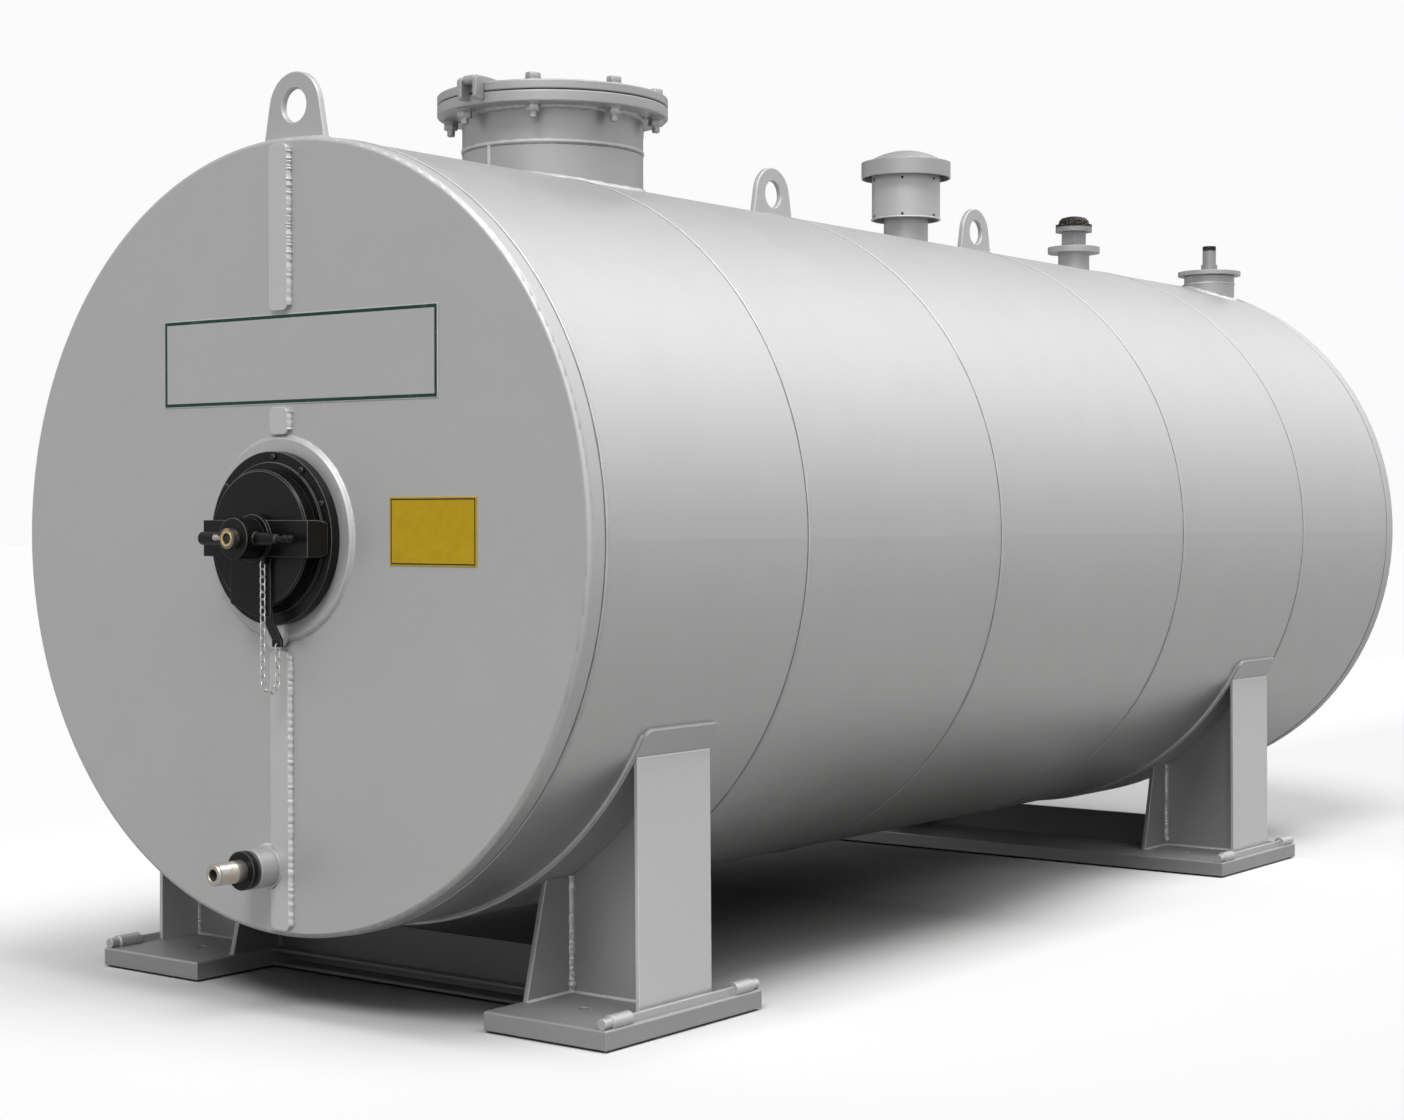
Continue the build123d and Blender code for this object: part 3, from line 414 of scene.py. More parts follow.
def topped_finish(name, tone, dark, fleck, height):
    """Grey fitting with a dark greasy top above one height, and ochre flecks of old sealant on it."""
    made = Finish(name, Metallic=0.55)
    smear = made.noise(scale=70.0, detail=5.0, roughness=0.7)
    top = made.rise((made.axis("Z") - height) * 40.0 + smear * 0.5, 0.25, 0.40)
    spots = made.rise(made.noise(scale=130.0, roughness=0.6), 0.62, 0.68)
    colour = made.mix(top, made.mix(smear, shade(tone, 0.8), tone), dark)
    colour = made.mix(spots * (0.15 + top * 0.75), colour, fleck)
    made.feed(Base_Color=colour, Roughness=0.35 + smear * 0.2,
              Normal=made.bump(smear, strength=0.2, distance=0.0008))


def weld_finish(name, tone):
    """Silver paint over a weld, in a tone that is a painted highlight on the beads and a painted shadow at the
    toe, with pits and spatter.
    """
    made = Finish(name, Metallic=0.25, Specular_IOR_Level=0.45)
    lump = made.noise(scale=140.0, detail=4.0, roughness=0.6)
    colour = made.mix(made.rise(lump, 0.3, 0.7), shade(tone, 0.85), tone)
    made.feed(Base_Color=colour, Roughness=0.36 + lump * 0.14,
              Normal=made.bump(lump, strength=0.25, distance=0.0012))


def rubber_finish(name, tone):
    """Dull black sheet rubber."""
    made = Finish(name)
    grain = made.noise(scale=300.0)
    made.feed(Base_Color=made.mix(grain, tone, shade(tone, 1.5)), Roughness=0.75 + grain * 0.12,
              Normal=made.bump(grain, strength=0.2, distance=0.0005))


def label_finish(name, ground, line_tone, line_place):
    """Bare yellow plate with a thin dark line round it and dull rubbed patches."""
    made = Finish(name, Specular_IOR_Level=0.4)
    rub = made.noise(scale=26.0, detail=6.0, roughness=0.68)
    face = made.mix(made.rise(rub, 0.35, 0.75), ground, shade(ground, 0.82))
    colour = made.mix(made.frame_mask(*line_place), face, line_tone)
    peel = made.bump(made.noise(scale=240.0, detail=2.0), strength=0.10, distance=0.0005)
    made.feed(Base_Color=colour, Roughness=0.38 + rub * 0.14, Normal=peel)


def kind(maker, **extra):
    """Short way to write one kind of property by its name, description and default."""
    return lambda name, description, default: maker(name=name, description=description, default=default, **extra)


tint, aim = kind(FloatVectorProperty, subtype="COLOR"), kind(FloatVectorProperty, subtype="DIRECTION")
length, spread = kind(FloatProperty, unit="LENGTH"), kind(FloatProperty, subtype="ANGLE")
level, number = kind(FloatProperty), kind(IntProperty)


class TankFinishProps(bpy.types.PropertyGroup):
    """Colours of the tank's finishes."""

    silver: tint("Silver", "Colour of the silver paint", (0.525, 0.525, 0.525))
    black: tint("Black", "Colour of the hatch enamel", (0.006, 0.006, 0.006))
    # Painted highlight along the black enamel's edges
    wear_and_highlight: tint("Painted edge highlight", "Painted highlight along the black enamel's edges", (0.36, 0.36, 0.35))
    steel: tint("Steel", "Colour of bare steel", (0.37, 0.36, 0.345))
    glint: tint("Glint", "Brownish glint on bare steel", (0.50, 0.34, 0.13))
    brass: tint("Brass", "Colour of the end nut's ring", (0.62, 0.44, 0.16))
    brass_dull: tint("Dull brass", "Duller patches of the ring", (0.45, 0.30, 0.10))
    chain: tint("Chain", "Colour of the plated chain", (0.55, 0.55, 0.54))
    chain_dull: tint("Dull chain", "Duller patches of the chain", (0.40, 0.38, 0.34))
    rubber: tint("Rubber", "Colour of the gasket", (0.02, 0.02, 0.02))
    green: tint("Green", "Line round the sign plate", (0.004, 0.040, 0.024))
    yellow: tint("Yellow", "Colour of the small plate", (0.77, 0.51, 0.008))


class TankSizeProps(bpy.types.PropertyGroup):
    """Sizes of the pieces that dress the tank."""

    seam_width: length("Seam width", "Half width of a shell seam", 0.0062)
    seam_height: length("Seam height", "Rise of a shell seam", 0.0030)
    # The seam toe is a painted shadow beside each seam
    seam_painted_shadow: length("Seam painted shadow", "Half width of the painted shadow beside a shell seam", 0.0028)
    fillet: length("Fillet", "Size of a fillet weld", 0.008)
    neck_joint: length("Neck joint", "Height of the manhole neck's joint above the axis", 1.193)
    sign_low: length("Sign bottom", "Top of the short strip below the sign, above the axis", 0.360)
    sign_high: length("Sign top", "Foot of the strip over the sign, above the axis", 0.625)
    cover_bolts: number("Cover bolts", "Bolts round the manhole cover", 8)
    first_bolt: level("First bolt", "Plan angle of one cover bolt in degrees", -105.0)
    bolt_corner: length("Bolt size", "Corner radius of a cover bolt's head", 0.0235)
    bolt_inset: length("Bolt inset", "From the cover's rim in to the bolts", 0.035)


class TankStageProps(bpy.types.PropertyGroup):
    """Light and floor of the studio."""

    floor: tint("Floor", "Colour of the floor", (0.84, 0.84, 0.84))
    # Painted light: the floor is paler beyond the far side, over the tank's shadow there
    floor_painted_light: tint("Far floor", "Colour of the floor beyond the far side", (0.97, 0.97, 0.97))
    floor_shine: tint("Floor shine", "Floor as reflections show it", (0.72, 0.715, 0.71))
    floor_back: tint("Floor bounce", "Floor as it throws light back", (0.12, 0.12, 0.115))
    # Painted shade: the floor as reflections show it is darker beside the rear of the tank
    shine_painted_shade: level("Shine fall", "Loss of floor shine beside the rear of the tank", 0.72)
    under: level("Under shade", "Darkening of the floor under the front of the tank", 0.75)
    white: level("White", "Level of the surround as the camera sees it", 0.965)
    sky: level("Sky", "Soft light from above", 1.9)
    sky_from: aim("Sky side", "Direction towards the brightest part of the sky", (0.45, -0.15, 0.88))
    shine_low: level("Low shine", "Horizon as reflections show it", 0.91)
    shine_high: level("High shine", "Top of the sky as reflections show it", 0.9)
    far_dim: level("Far dimming", "Fall of the reflected surround behind the far side", 1.6)
    rear_glow: level("Rear glow", "Bright patch of the surround at the rear", 2.6)
    rear_from: aim("Rear side", "Direction towards the rear patch", (0.44, 0.70, 0.59))
    front_glow: level("Front glow", "Bright patch of the surround at the front", 0.75)
    front_from: aim("Front side", "Direction towards the front patch", (0.60, -0.75, 0.30))
    lamp: level("Lamp", "Strength of the wide lamp", 1.05)
    lamp_spread: spread("Lamp spread", "Width of the lamp as seen from the tank", 0.5)
    lamp_from: aim("Lamp side", "Direction towards the wide lamp", (0.36, 0.05, 0.90))
    fill: level("Fill", "Strength of the front lamp", 1.55)
    fill_spread: spread("Fill spread", "Width of the front lamp as seen from the tank", 0.35)
    fill_from: aim("Fill side", "Direction towards the front lamp", (0.23, -0.62, 0.76))


# Silver paints: name, share of the paint's tone and roughness; the paler end plates are painted light, the darker
# base plates and cross channel painted shade
SILVER_PAINTS = (
    ("silver paint", 1.0, 0.34), ("silver steelwork", 0.97, 0.42), ("silver strip", 1.18, 0.40),
    ("end plate silver painted light", 1.22, 0.40), ("base silver painted shade", 0.68, 0.46), ("channel silver painted shade", 0.34, 0.60),
    ("silver fitting", 0.80, 0.40), ("silver head", 1.0, 0.46),
)
# Weld paints, paler as a painted highlight on the beads and darker as a painted shadow at the toe: name and share
# of the paint's tone
WELD_PAINTS = (("weld painted highlight", 1.40), ("painted highlight shell bead", 1.16), ("toe painted shadow", 0.42))
# Greasy fittings: name, node, share of the paint's tone and depth of the dark top
TOPPED_PAINTS = (("breather grey", "breather_valve", 0.6, 0.048), ("gauge grey", "gauge_stub", 0.65, 0.022))


def finishes():
    """Materials by name, made once."""
    props = bpy.context.scene.tank_finish
    if "silver paint" not in bpy.data.materials:
        silver, black = tuple(props.silver), tuple(props.black)
        steel, glint = tuple(props.steel), tuple(props.glint)
        for name, share, rough in SILVER_PAINTS:
            silver_finish(name, shade(silver, share), rough)
        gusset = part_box("front_gussets")[1].x
        # Painted shade: webs and gussets darker, and darker still between the gussets under the tank
        silver_finish("web silver painted shade", shade(silver, 0.76), 0.46, painted_shade_within=gusset - 0.002)
        for name, share in WELD_PAINTS:
            weld_finish(name, shade(silver, share))
        black_finish("black enamel", black, tuple(props.wear_and_highlight))
        steel_finish("bare steel", steel, glint, 0.30)
        steel_finish("dark steel", shade(steel, 0.4), glint, 0.34)
        steel_finish("brass", tuple(props.brass), tuple(props.brass_dull), 0.24)
        steel_finish("plated chain", tuple(props.chain), tuple(props.chain_dull), 0.28)
        rubber_finish("gasket rubber", tuple(props.rubber))
        for name, node, share, depth in TOPPED_PAINTS:
            topped_finish(name, shade(silver, share), black, glint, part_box(node)[1].z - depth)
    return bpy.data.materials


COURSES = [f"shell_course_{k}" for k in range(1, 6)]
# Painted light and shade here: end plates paler as painted light; webs, gussets, base plates and cross channel
# darker as painted shade
NODE_FINISHES = {
    "black enamel": ("drain_ring", "hatch_flange", "hatch_cap", "hatch_yoke", "hatch_screw", "hatch_arm"),
    "bare steel": ("drain_nipple",),
    "dark steel": ("hatch_nut",),
    "breather grey": ("breather_valve",),
    "gauge grey": ("gauge_stub",),
    "plated chain": ("keeper_chain",),
    "gasket rubber": ("manhole_gasket",),
    "silver strip": ("front_strap", "rear_strap", "hatch_tab"),
    "silver head": ("front_head", "rear_head", "hatch_pad"),
    "web silver painted shade": ("front_webs", "front_gussets", "rear_webs", "rear_gussets"),
    "channel silver painted shade": ("cross_channel",),
    "silver fitting": ("manhole_neck", "manhole_flange", "manhole_cover", "cover_hinge", "vent_neck",
                       "vent_cap", "breather_neck", "gauge_neck"),
    "silver paint": COURSES,
    "end plate silver painted light": ("front_end_plates", "rear_end_plates"),
    "base silver painted shade": ("front_base_plates", "rear_base_plate"),
    "weld painted highlight": ("girth_seams",),
}


class TANK_OT_paint(bpy.types.Operator):
    """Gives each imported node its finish"""

    bl_idname = "tank.paint"
    bl_label = "Paint the tank"

    def execute(self, context):
        made = finishes()
        chosen = {node: finish for finish, nodes in NODE_FINISHES.items() for node in nodes}
        for name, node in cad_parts.items():
            node.data.materials.clear()
            node.data.materials.append(made[chosen.get(name, "silver steelwork")])
        return {"FINISHED"}


class TANK_OT_seams(bpy.types.Operator):
    """Adds the weld beads round the shell"""

    bl_idname = "tank.seams"
    bl_label = "Shell seams"

    def execute(self, context):
        sizes = context.scene.tank_sizes
        shape, toes = Shape(), Shape()
        ends = [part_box(course)[0].y for course in COURSES] + [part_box(COURSES[-1])[1].y]
        neck, neck_radius = middle("manhole_neck")
        for count, y in enumerate(ends):
            reach = neck_radius ** 2 - (y - neck.y) ** 2
            start = np.arcsin(np.sqrt(reach) / SHELL_R) if reach > 0 else 0.0
            closed = start == 0.0
            path, up = arc((0.0, y, AXIS_Z), SHELL_R, UP, ACROSS, start, TAU - start, SEAM_STEP)
            shape.weld(path, up, sizes.seam_width, sizes.seam_height, pitch=0.013, seed=count + 1, closed=closed)
            toe = sizes.seam_painted_shadow
            # Painted shadow: a thin dark bead beside each seam
            beside = path - (sizes.seam_width + toe) * ALONG
            toes.weld(beside, up, toe, toe / 3, pitch=0.05, seed=count + 11, closed=closed)
        toes.piece("seam_painted_shadows", "toe painted shadow")
        piece = shape.piece("shell_seams", "painted highlight shell bead")
        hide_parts("girth_seams")
        return {"FINISHED"}


def set_down(path):
    """Path moved straight down on to the top of the shell, with the shell's own normals."""
    height = np.sqrt(SHELL_R ** 2 - path[:, 0] ** 2)
    normal = np.stack([path[:, 0], np.zeros(len(path)), height], -1) / SHELL_R
    return np.stack([path[:, 0], path[:, 1], AXIS_Z + height], -1), normal


class TANK_OT_nozzles(bpy.types.Operator):
    """Adds the welds at the feet of the necks and the lugs, and on the manhole neck"""

    bl_idname = "tank.nozzles"
    bl_label = "Neck and lug welds"

    def execute(self, context):
        sizes = context.scene.tank_sizes
        shape = Shape()
        necks = (("manhole_neck", 0.0, 1.25), ("vent_neck", 0.0, 1.5),
                 ("breather_neck", BREATHER_FLANGE, 1.5), ("gauge_neck", GAUGE_FLANGE, 1.5))
        for seed, (node, flange, share) in enumerate(necks):
            centre, radius = middle(node)
            path, outward = arc((centre.x, centre.y, 0.0), radius - flange)
            path, normal = set_down(path)
            size = sizes.fillet * share
            shape.weld(path, unit(outward + normal), size, size * 0.75, seed=seed + 20, closed=True)
        self.manhole(shape, AXIS_Z + sizes.neck_joint)
        self.lugs(shape, sizes.fillet)
        shape.piece("neck_welds", "weld painted highlight")
        return {"FINISHED"}

    def manhole(self, shape, joint):
        """Ring and upright bead of the neck's joint, a painted shadow below the ring and the bead under the
        flange.
        """
        toe_drop, seam_turn = 0.0085, np.radians(-93.0)
        (x, y, _), radius = middle("manhole_neck")
        path, outward = arc((x, y, joint), radius)
        shape.weld(path, outward, width=0.0055, height=0.0040, pitch=0.014, seed=31, closed=True)
        # Painted shadow: a thin dark bead below the joint ring
        path, outward = arc((x, y, joint - toe_drop), radius)
        toe = Shape().weld(path, outward, width=0.0030, height=0.0010, pitch=0.05, seed=34, closed=True)
        toe.piece("neck_painted_shadow", "toe painted shadow")
        path, outward = arc((x, y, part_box("manhole_flange")[0].z), radius)
        up = unit(outward - UP)
        collar = Shape().weld(path, up, width=0.013, height=0.011, pitch=0.012, seed=32, closed=True)
        collar.piece("flange_weld", "silver fitting")
        side = np.array([np.cos(seam_turn), np.sin(seam_turn), 0.0])
        foot = np.array([x, y, 0.0]) + radius * side
        run = line((*foot[:2], SHELL_TOP), (*foot[:2], joint))
        shape.weld(run, same(side, run), width=0.006, height=0.004, pitch=0.012, seed=33)

    def lugs(self, shape, fillet):
        """Beads along both sides of each lug's foot: the first lug stands across the tank, the others along it."""
        for seed, station in enumerate(LUG_STATIONS):
            run, side = (ALONG, ACROSS) if seed else (ACROSS, ALONG)
            foot = line(-LUG_HALF_BASE * run, LUG_HALF_BASE * run) + (FRONT_Y + station) * ALONG
            for sign in (-1.0, 1.0):
                path, normal = set_down(foot + sign * LUG_HALF_THICK * side)
                up = unit(normal + sign * side)
                shape.weld(path, up, fillet, fillet * 0.75, seed=seed * 2 + int(sign) + 40)


class TANK_OT_head_welds(bpy.types.Operator):
    """Adds the welds along the cover strips and round the hatch pad and the drain"""

    bl_idname = "tank.head_welds"
    bl_label = "Head welds"

    def execute(self, context):
        sizes = context.scene.tank_sizes
        shape, pad_weld = Shape(), Shape()
        left_size, right_size, rear_size, gap = 0.0045, 0.0075, 0.0050, 0.005
        half = middle("front_strap")[1]
        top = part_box("front_strap")[1].z - AXIS_Z
        pad, pad_radius = middle("hatch_pad")
        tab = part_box("hatch_tab")[0].z - AXIS_Z
        spans = ((sizes.sign_high, top), (pad_radius + gap, sizes.sign_low), (-top, tab - gap))
        for seed, span in enumerate(spans):
            for sign, size in ((-1.0, left_size), (1.0, right_size)):
                self.edge(shape, sign * half, FRONT_Y, -1.0, span, size, seed * 2 + int(sign) + 60)
        for sign in (-1.0, 1.0):
            self.edge(shape, sign * half, REAR_Y, 1.0, (-top, top), rear_size, 70 + int(sign))
        self.ring(pad_weld, pad, pad_radius, size=0.0065, seed=81)
        self.ring(shape, middle("drain_collar")[0], DRAIN_RADIUS, size=0.006, seed=82)
        pad_weld.piece("pad_weld", "painted highlight shell bead")
        shape.piece("head_welds", "weld painted highlight")
        return {"FINISHED"}

    def ring(self, shape, centre, radius, size, seed):
        """Bead round a disc on the front head."""
        path, outward = arc((centre.x, FRONT_Y, centre.z), radius, ACROSS, UP)
        shape.weld(path, unit(outward - ALONG), size, size * 0.7, pitch=0.010, seed=seed, closed=True)

    def edge(self, shape, x, y, outward, span, size, seed):
        """Bead up one edge of a strip."""
        lift, short = 0.004, 0.014
        y += outward * lift
        path = line((x, y, AXIS_Z + span[0] + short), (x, y, AXIS_Z + span[1] - short))
        up = same((np.sign(x), outward, 0.0), path)
        shape.weld(path, up, size, size, pitch=0.022, seed=seed, ripple=0.34)


class TANK_OT_saddle_welds(bpy.types.Operator):
    """Adds the welds of both saddles"""

    bl_idname = "tank.saddle_welds"
    bl_label = "Saddle welds"

    def execute(self, context):
        shape = Shape()
        fillet = context.scene.tank_sizes.fillet
        for end, seed in (("front", 100), ("rear", 140)):
            self.saddle(shape, end, fillet, seed)
        shape.piece("saddle_welds", "weld painted highlight")
        return {"FINISHED"}

    def saddle(self, shape, end, fillet, seed):
        """Upright beads in the web's corners, level beads at the feet, and beads along the wear plate."""
        seat_gap, short, low_end, high_end = 0.0003, 0.006, np.radians(180.0 - 62.0), np.radians(180.0 + 62.0)
        wear_low, wear_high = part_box(f"{end}_wear_plate")
        plate_low, plate_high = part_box(f"{end}_end_plates")
        gusset_low, gusset_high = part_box(f"{end}_gussets")
        web = middle(f"{end}_webs")[0].y
        floor, inner, outer = plate_low.z, gusset_high.x, plate_high.x - END_PLATE_THICK
        seat = wear_high.x / np.sin(WEAR_HALF_ANGLE) + seat_gap
        top, plate_top = (AXIS_Z - np.sqrt(seat ** 2 - x ** 2) for x in (inner, outer - short))
        corners = ((inner, inner, top, 1.0, 1.5 * fillet),
                   (outer, outer - END_PLATE_LEAN, plate_top, -1.0, fillet))
        for side in (-1.0, 1.0):
            for face in (-1.0, 1.0):
                y = web + face * WEB_HALF_THICK
                for x, head_x, head, lean, size in corners:
                    path = line((side * x, y, floor), (side * head_x, y, head))
                    up = same((side * lean, face, 0.0), path)
                    shape.weld(path, up, size, size * 0.8, pitch=0.015, seed=seed)
                    seed += 1
                foot = (side * (inner + fillet), y + face * fillet, floor + 3 * fillet)
                self.ball(shape, foot, 1.5 * fillet)
                self.level(shape, (side * inner, y, floor), (side * outer, y, floor), (0, face, 1), fillet, seed)
                seed += 1
            for x, low, high in ((plate_high.x, plate_low.y, plate_high.y), (inner, gusset_low.y, gusset_high.y)):
                self.level(shape, (side * x, low, floor), (side * x, high, floor), (side, 0, 1), fillet, seed)
                seed += 1
        for face, y in ((-1.0, wear_low.y), (1.0, wear_high.y)):
            path, up = arc((0.0, y, AXIS_Z), SHELL_R, UP, ACROSS, low_end, high_end, WEAR_STEP)
            shape.weld(path, unit(up + face * ALONG), fillet, fillet * 0.7, seed=seed)
            seed += 1

    def ball(self, shape, centre, radius):
        """Round end of a bead."""
        turn = np.linspace(0.0, np.pi, 7)
        shape.turn(np.stack([radius * np.sin(turn), -radius * np.cos(turn)], -1), centre, UP, 14)

    def level(self, shape, start, end, up, fillet, seed):
        """Bead along the foot of a plate."""
        path = line(start, end)
        shape.weld(path, same(up, path), fillet, fillet * 0.7, seed=seed)


class TANK_OT_bolts(bpy.types.Operator):
    """Adds the bolts, washers, nuts and stud ends of the manhole cover"""

    bl_idname = "tank.bolts"
    bl_label = "Cover bolts"

    def execute(self, context):
        sizes = context.scene.tank_sizes
        centre, radius = middle("manhole_cover")
        radius -= sizes.bolt_inset
        cover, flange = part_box("manhole_cover")[1].z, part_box("manhole_flange")[0].z
        corner, spin_step, nut_turn = sizes.bolt_corner, 0.35, 0.3
        shape = Shape()
        for count in range(sizes.cover_bolts):
            turn = np.radians(sizes.first_bolt + 360.0 * count / sizes.cover_bolts)
            x, y = centre.x + radius * np.cos(turn), centre.y + radius * np.sin(turn)
            spin = turn + spin_step * count
            self.bolt(shape, (x, y, cover), UP, corner, spin, height=0.024, stud=0.0)
            self.bolt(shape, (x, y, flange), -UP, corner, spin + nut_turn, height=0.026, stud=0.020)
        shape.piece("cover_bolts", "silver fitting")
        return {"FINISHED"}

    def bolt(self, shape, foot, axis, corner, spin, height, stud):
        """Washer, six-sided head or nut with a turned edge, and the stud's end beyond it."""
        washer = [(0.0, -0.001), (corner * 1.12, -0.001), (corner * 1.12, 0.003),
                  (corner * 0.6, 0.0035), (0.0, 0.0035)]
        shape.turn(washer, foot, axis, 20)
        six = [(0.0, 0.003), (corner * 0.94, 0.003), (corner, 0.005), (corner, height - 0.003),
               (corner * 0.90, height), (0.0, height)]
        shape.turn(six, foot, axis, 6, spin)
        if stud:
            end = height + stud
            rod = [(0.0, height - 0.002), (corner * 0.52, height - 0.002), (corner * 0.52, end - 0.003),
                   (corner * 0.40, end), (0.0, end)]
            shape.turn(rod, foot, axis, 14)


class TANK_OT_fittings(bpy.types.Operator):
    """Adds the lip and small screws of the vent drum and the rings of the gauge drum"""

    bl_idname = "tank.fittings"
    bl_label = "Vent and gauge trim"

    def execute(self, context):
        first_screw, screw_step = -64.0, 60.0
        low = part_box("vent_drum")[0].z
        centre, radius = middle("vent_drum")
        rows = (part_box("vent_cap")[0].z - 0.010, low + 0.012)
        screws, rings, dark = Shape(), Shape(), Shape()
        head = [(0.0, -0.001), (0.0055, -0.001), (0.0050, 0.0018), (0.0030, 0.0026), (0.0, 0.0026)]
        turns = np.radians(np.arange(first_screw, first_screw + 360.0, screw_step))
        for side in around(turns, ACROSS, ALONG):
            for height in rows:
                screws.turn(head, np.array([centre.x, centre.y, height]) + radius * side, side, 12)
        self.ring(rings, (centre.x, centre.y, low + 0.003), radius, width=0.0030, height=0.0035, seed=91)
        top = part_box("gauge_neck")[1].z
        centre, radius = middle("gauge_neck")
        radius -= GAUGE_FLANGE
        self.ring(rings, (centre.x, centre.y, top - 0.054), radius, width=0.0035, height=0.0030, seed=92)
        # Painted shadow: a thin dark ring near the top of the gauge neck
        self.ring(dark, (centre.x, centre.y, top - 0.0205), radius, width=0.0022, height=0.0012, seed=93)
        screws.piece("vent_screws", "black enamel", slot="black_paint")
        rings.piece("drum_rings", "weld painted highlight")
        dark.piece("gauge_joint", "toe painted shadow")
        return {"FINISHED"}

    def ring(self, shape, centre, radius, width, height, seed):
        """Low bead round an upright drum."""
        path, outward = arc(centre, radius)
        shape.weld(path, outward, width, height, pitch=0.05, seed=seed, closed=True, ripple=0.05)


class TANK_OT_hatch_trim(bpy.types.Operator):
    """Adds the small bolts of the hatch flange and the pin, ring and dark socket of the end nut"""

    bl_idname = "tank.hatch_trim"
    bl_label = "Hatch trim"

    def execute(self, context):
        centre = middle("hatch_flange")[0]
        bolts = Shape()
        head = [(0.0, -0.001), (0.0085, -0.001), (0.0085, 0.005), (0.0065, 0.0075), (0.0, 0.0075)]
        face = np.array([centre.x, FRONT_Y - HATCH_FACE, centre.z])
        for side in around(np.radians((25.0, 56.0, 86.0, 140.0)), ACROSS, UP):
            bolts.turn(head, face + HATCH_BOLT_CIRCLE * side, -ALONG, 14)
        bolts.piece("hatch_bolts", "black enamel", slot="black_paint")
        nut, half = middle("hatch_nut")
        pin = [(0.0, -0.004), (0.0055, -0.004), (0.0055, 0.020), (0.0085, 0.022), (0.0085, 0.034),
               (0.006, 0.037), (0.0, 0.037)]
        shape = Shape().turn(pin, (nut.x - half, nut.y + 0.002, nut.z), (-1.0, 0.0, 0.1), 16)
        shape.piece("nut_pin", "bare steel", SCREW, "bare_steel")
        front = (nut.x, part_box("hatch_nut")[0].y, nut.z)
        ring = [(0.0155, -0.002), (0.0215, -0.002), (0.0210, 0.0012), (0.0185, 0.0020),
                (0.0160, 0.0012), (0.0155, -0.002)]
        Shape().turn(ring, front, -ALONG, 32).piece("nut_ring", "brass", SCREW, "bare_steel")
        disc = [(0.0, -0.006), (0.0135, -0.006), (0.0135, -0.004), (0.0, -0.004)]
        Shape().turn(disc, front, -ALONG, 24).piece("nut_socket", "gasket rubber", SCREW, "gasket")
        return {"FINISHED"}


class TANK_OT_drain_thread(bpy.types.Operator):
    """Adds the threaded nipple of the drain in place of the plain one"""

    bl_idname = "tank.drain_thread"
    bl_label = "Drain thread"

    def execute(self, context):
        """Radius at height h and angle v is the outer radius less a sharp tooth of (h / pitch - v / turn)."""
        bore, depth, pitch, tooth = 0.016, 0.080, 0.0055, 0.0026
        plain_root, plain_tip, fade, chamfer, chamfer_depth = 0.028, 0.004, 0.006, 0.005, 0.0045
        lip, sides, rows = 0.002, 56, 150
        low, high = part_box("drain_nipple")
        centre, radius = middle("drain_nipple")
        length = high.y - low.y
        angle = np.linspace(0, TAU, sides, endpoint=False)
        height = np.linspace(0.0, length, rows)
        phase = (height[:, None] / pitch - angle[None] / TAU) % 1.0
        from_ends = np.minimum(height - plain_root, length - plain_tip - height)
        cut = np.clip(from_ends / fade, 0.0, 1.0)[:, None]
        outer = radius - cut * tooth * np.abs(2.0 * phase - 1.0)
        outer -= chamfer_depth * np.clip((height - length + chamfer) / chamfer, 0.0, 1.0)[:, None]
        bottom = length - depth
        mouth = np.array([(bore + lip, length), (bore, length - lip), (bore, bottom), (0.0, bottom)])
        heights = np.concatenate([[0.0], height, mouth[:, 1]])
        radii = np.vstack([np.zeros((1, sides)), outer, np.repeat(mouth[:, :1], sides, 1)])
        grid = np.array([centre.x, high.y, centre.z]) + radii[..., None] * around(angle, ACROSS, UP)
        grid = grid - heights[:, None, None] * ALONG
        piece = Shape().grid(grid, False, True).piece("drain_thread", "bare steel", slot="bare_steel")
        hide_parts("drain_nipple")
        return {"FINISHED"}


class TANK_OT_chain(bpy.types.Operator):
    """Adds the keeper chain in round wire in place of the faceted one"""

    bl_idname = "tank.chain"
    bl_label = "Keeper chain"

    def execute(self, context):
        pivots = self.pivots()
        shape = Shape()
        for count, (first, second) in enumerate(zip(pivots, pivots[1:])):
            run = unit(second - first)
            side = ACROSS if count % 2 else np.cross(ACROSS, run)
            shape.grid(self.link((first + second) / 2, run, side), True, True)
        piece = shape.piece("chain_links", "plated chain", slot="bare_steel", flat_angle=60.0)
        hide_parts("keeper_chain")
        return {"FINISHED"}

    def pivots(self):
        """Places where the links meet: straight down, round the bight and up again."""
        pitch, down, round_, up = 0.0206, 16, 4, 5
        half_width, past_pivot = 0.010, 0.0042
        radius = pitch / (2 * np.sin(np.pi / (2 * round_)))
        low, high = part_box("keeper_chain")
        x, y, top = (low.x + high.x) / 2, low.y + half_width, high.z - past_pivot
        first = np.stack([np.zeros(down), np.arange(down) * pitch], -1)
        angle = np.pi * np.arange(round_) / round_
        bight = np.stack([radius - radius * np.cos(angle), down * pitch + radius * np.sin(angle)], -1)
        last = np.stack([np.full(up + 1, 2 * radius), down * pitch - np.arange(up + 1) * pitch], -1)
        flat = np.vstack([first, bight, last])
        return np.stack([np.full(len(flat), x), y + flat[:, 0], top - flat[:, 1]], -1)

    def link(self, centre, run, side):
        """One link: a round wire carried along two straight sides and two half circles."""
        length, width, wire = 0.029, 0.020, 0.004
        bend = (width - wire) / 2
        straight = (length - wire) / 2 - bend
        turn = np.linspace(-np.pi / 2, np.pi / 2, 9)
        out = np.stack([np.cos(turn), np.sin(turn)], -1)
        tip = bend * out + np.array([straight, 0.0])
        loop, outward = np.vstack([tip, -tip]), np.vstack([out, -out])
        across = np.cross(run, side)
        path = centre + loop[:, :1] * run + loop[:, 1:] * side
        away = outward[:, :1] * run + outward[:, 1:] * side
        angle = np.linspace(0, TAU, 8, endpoint=False)
        return path[:, None] + wire / 2 * (np.cos(angle)[None, :, None] * away[:, None]
                                           + np.sin(angle)[None, :, None] * across)


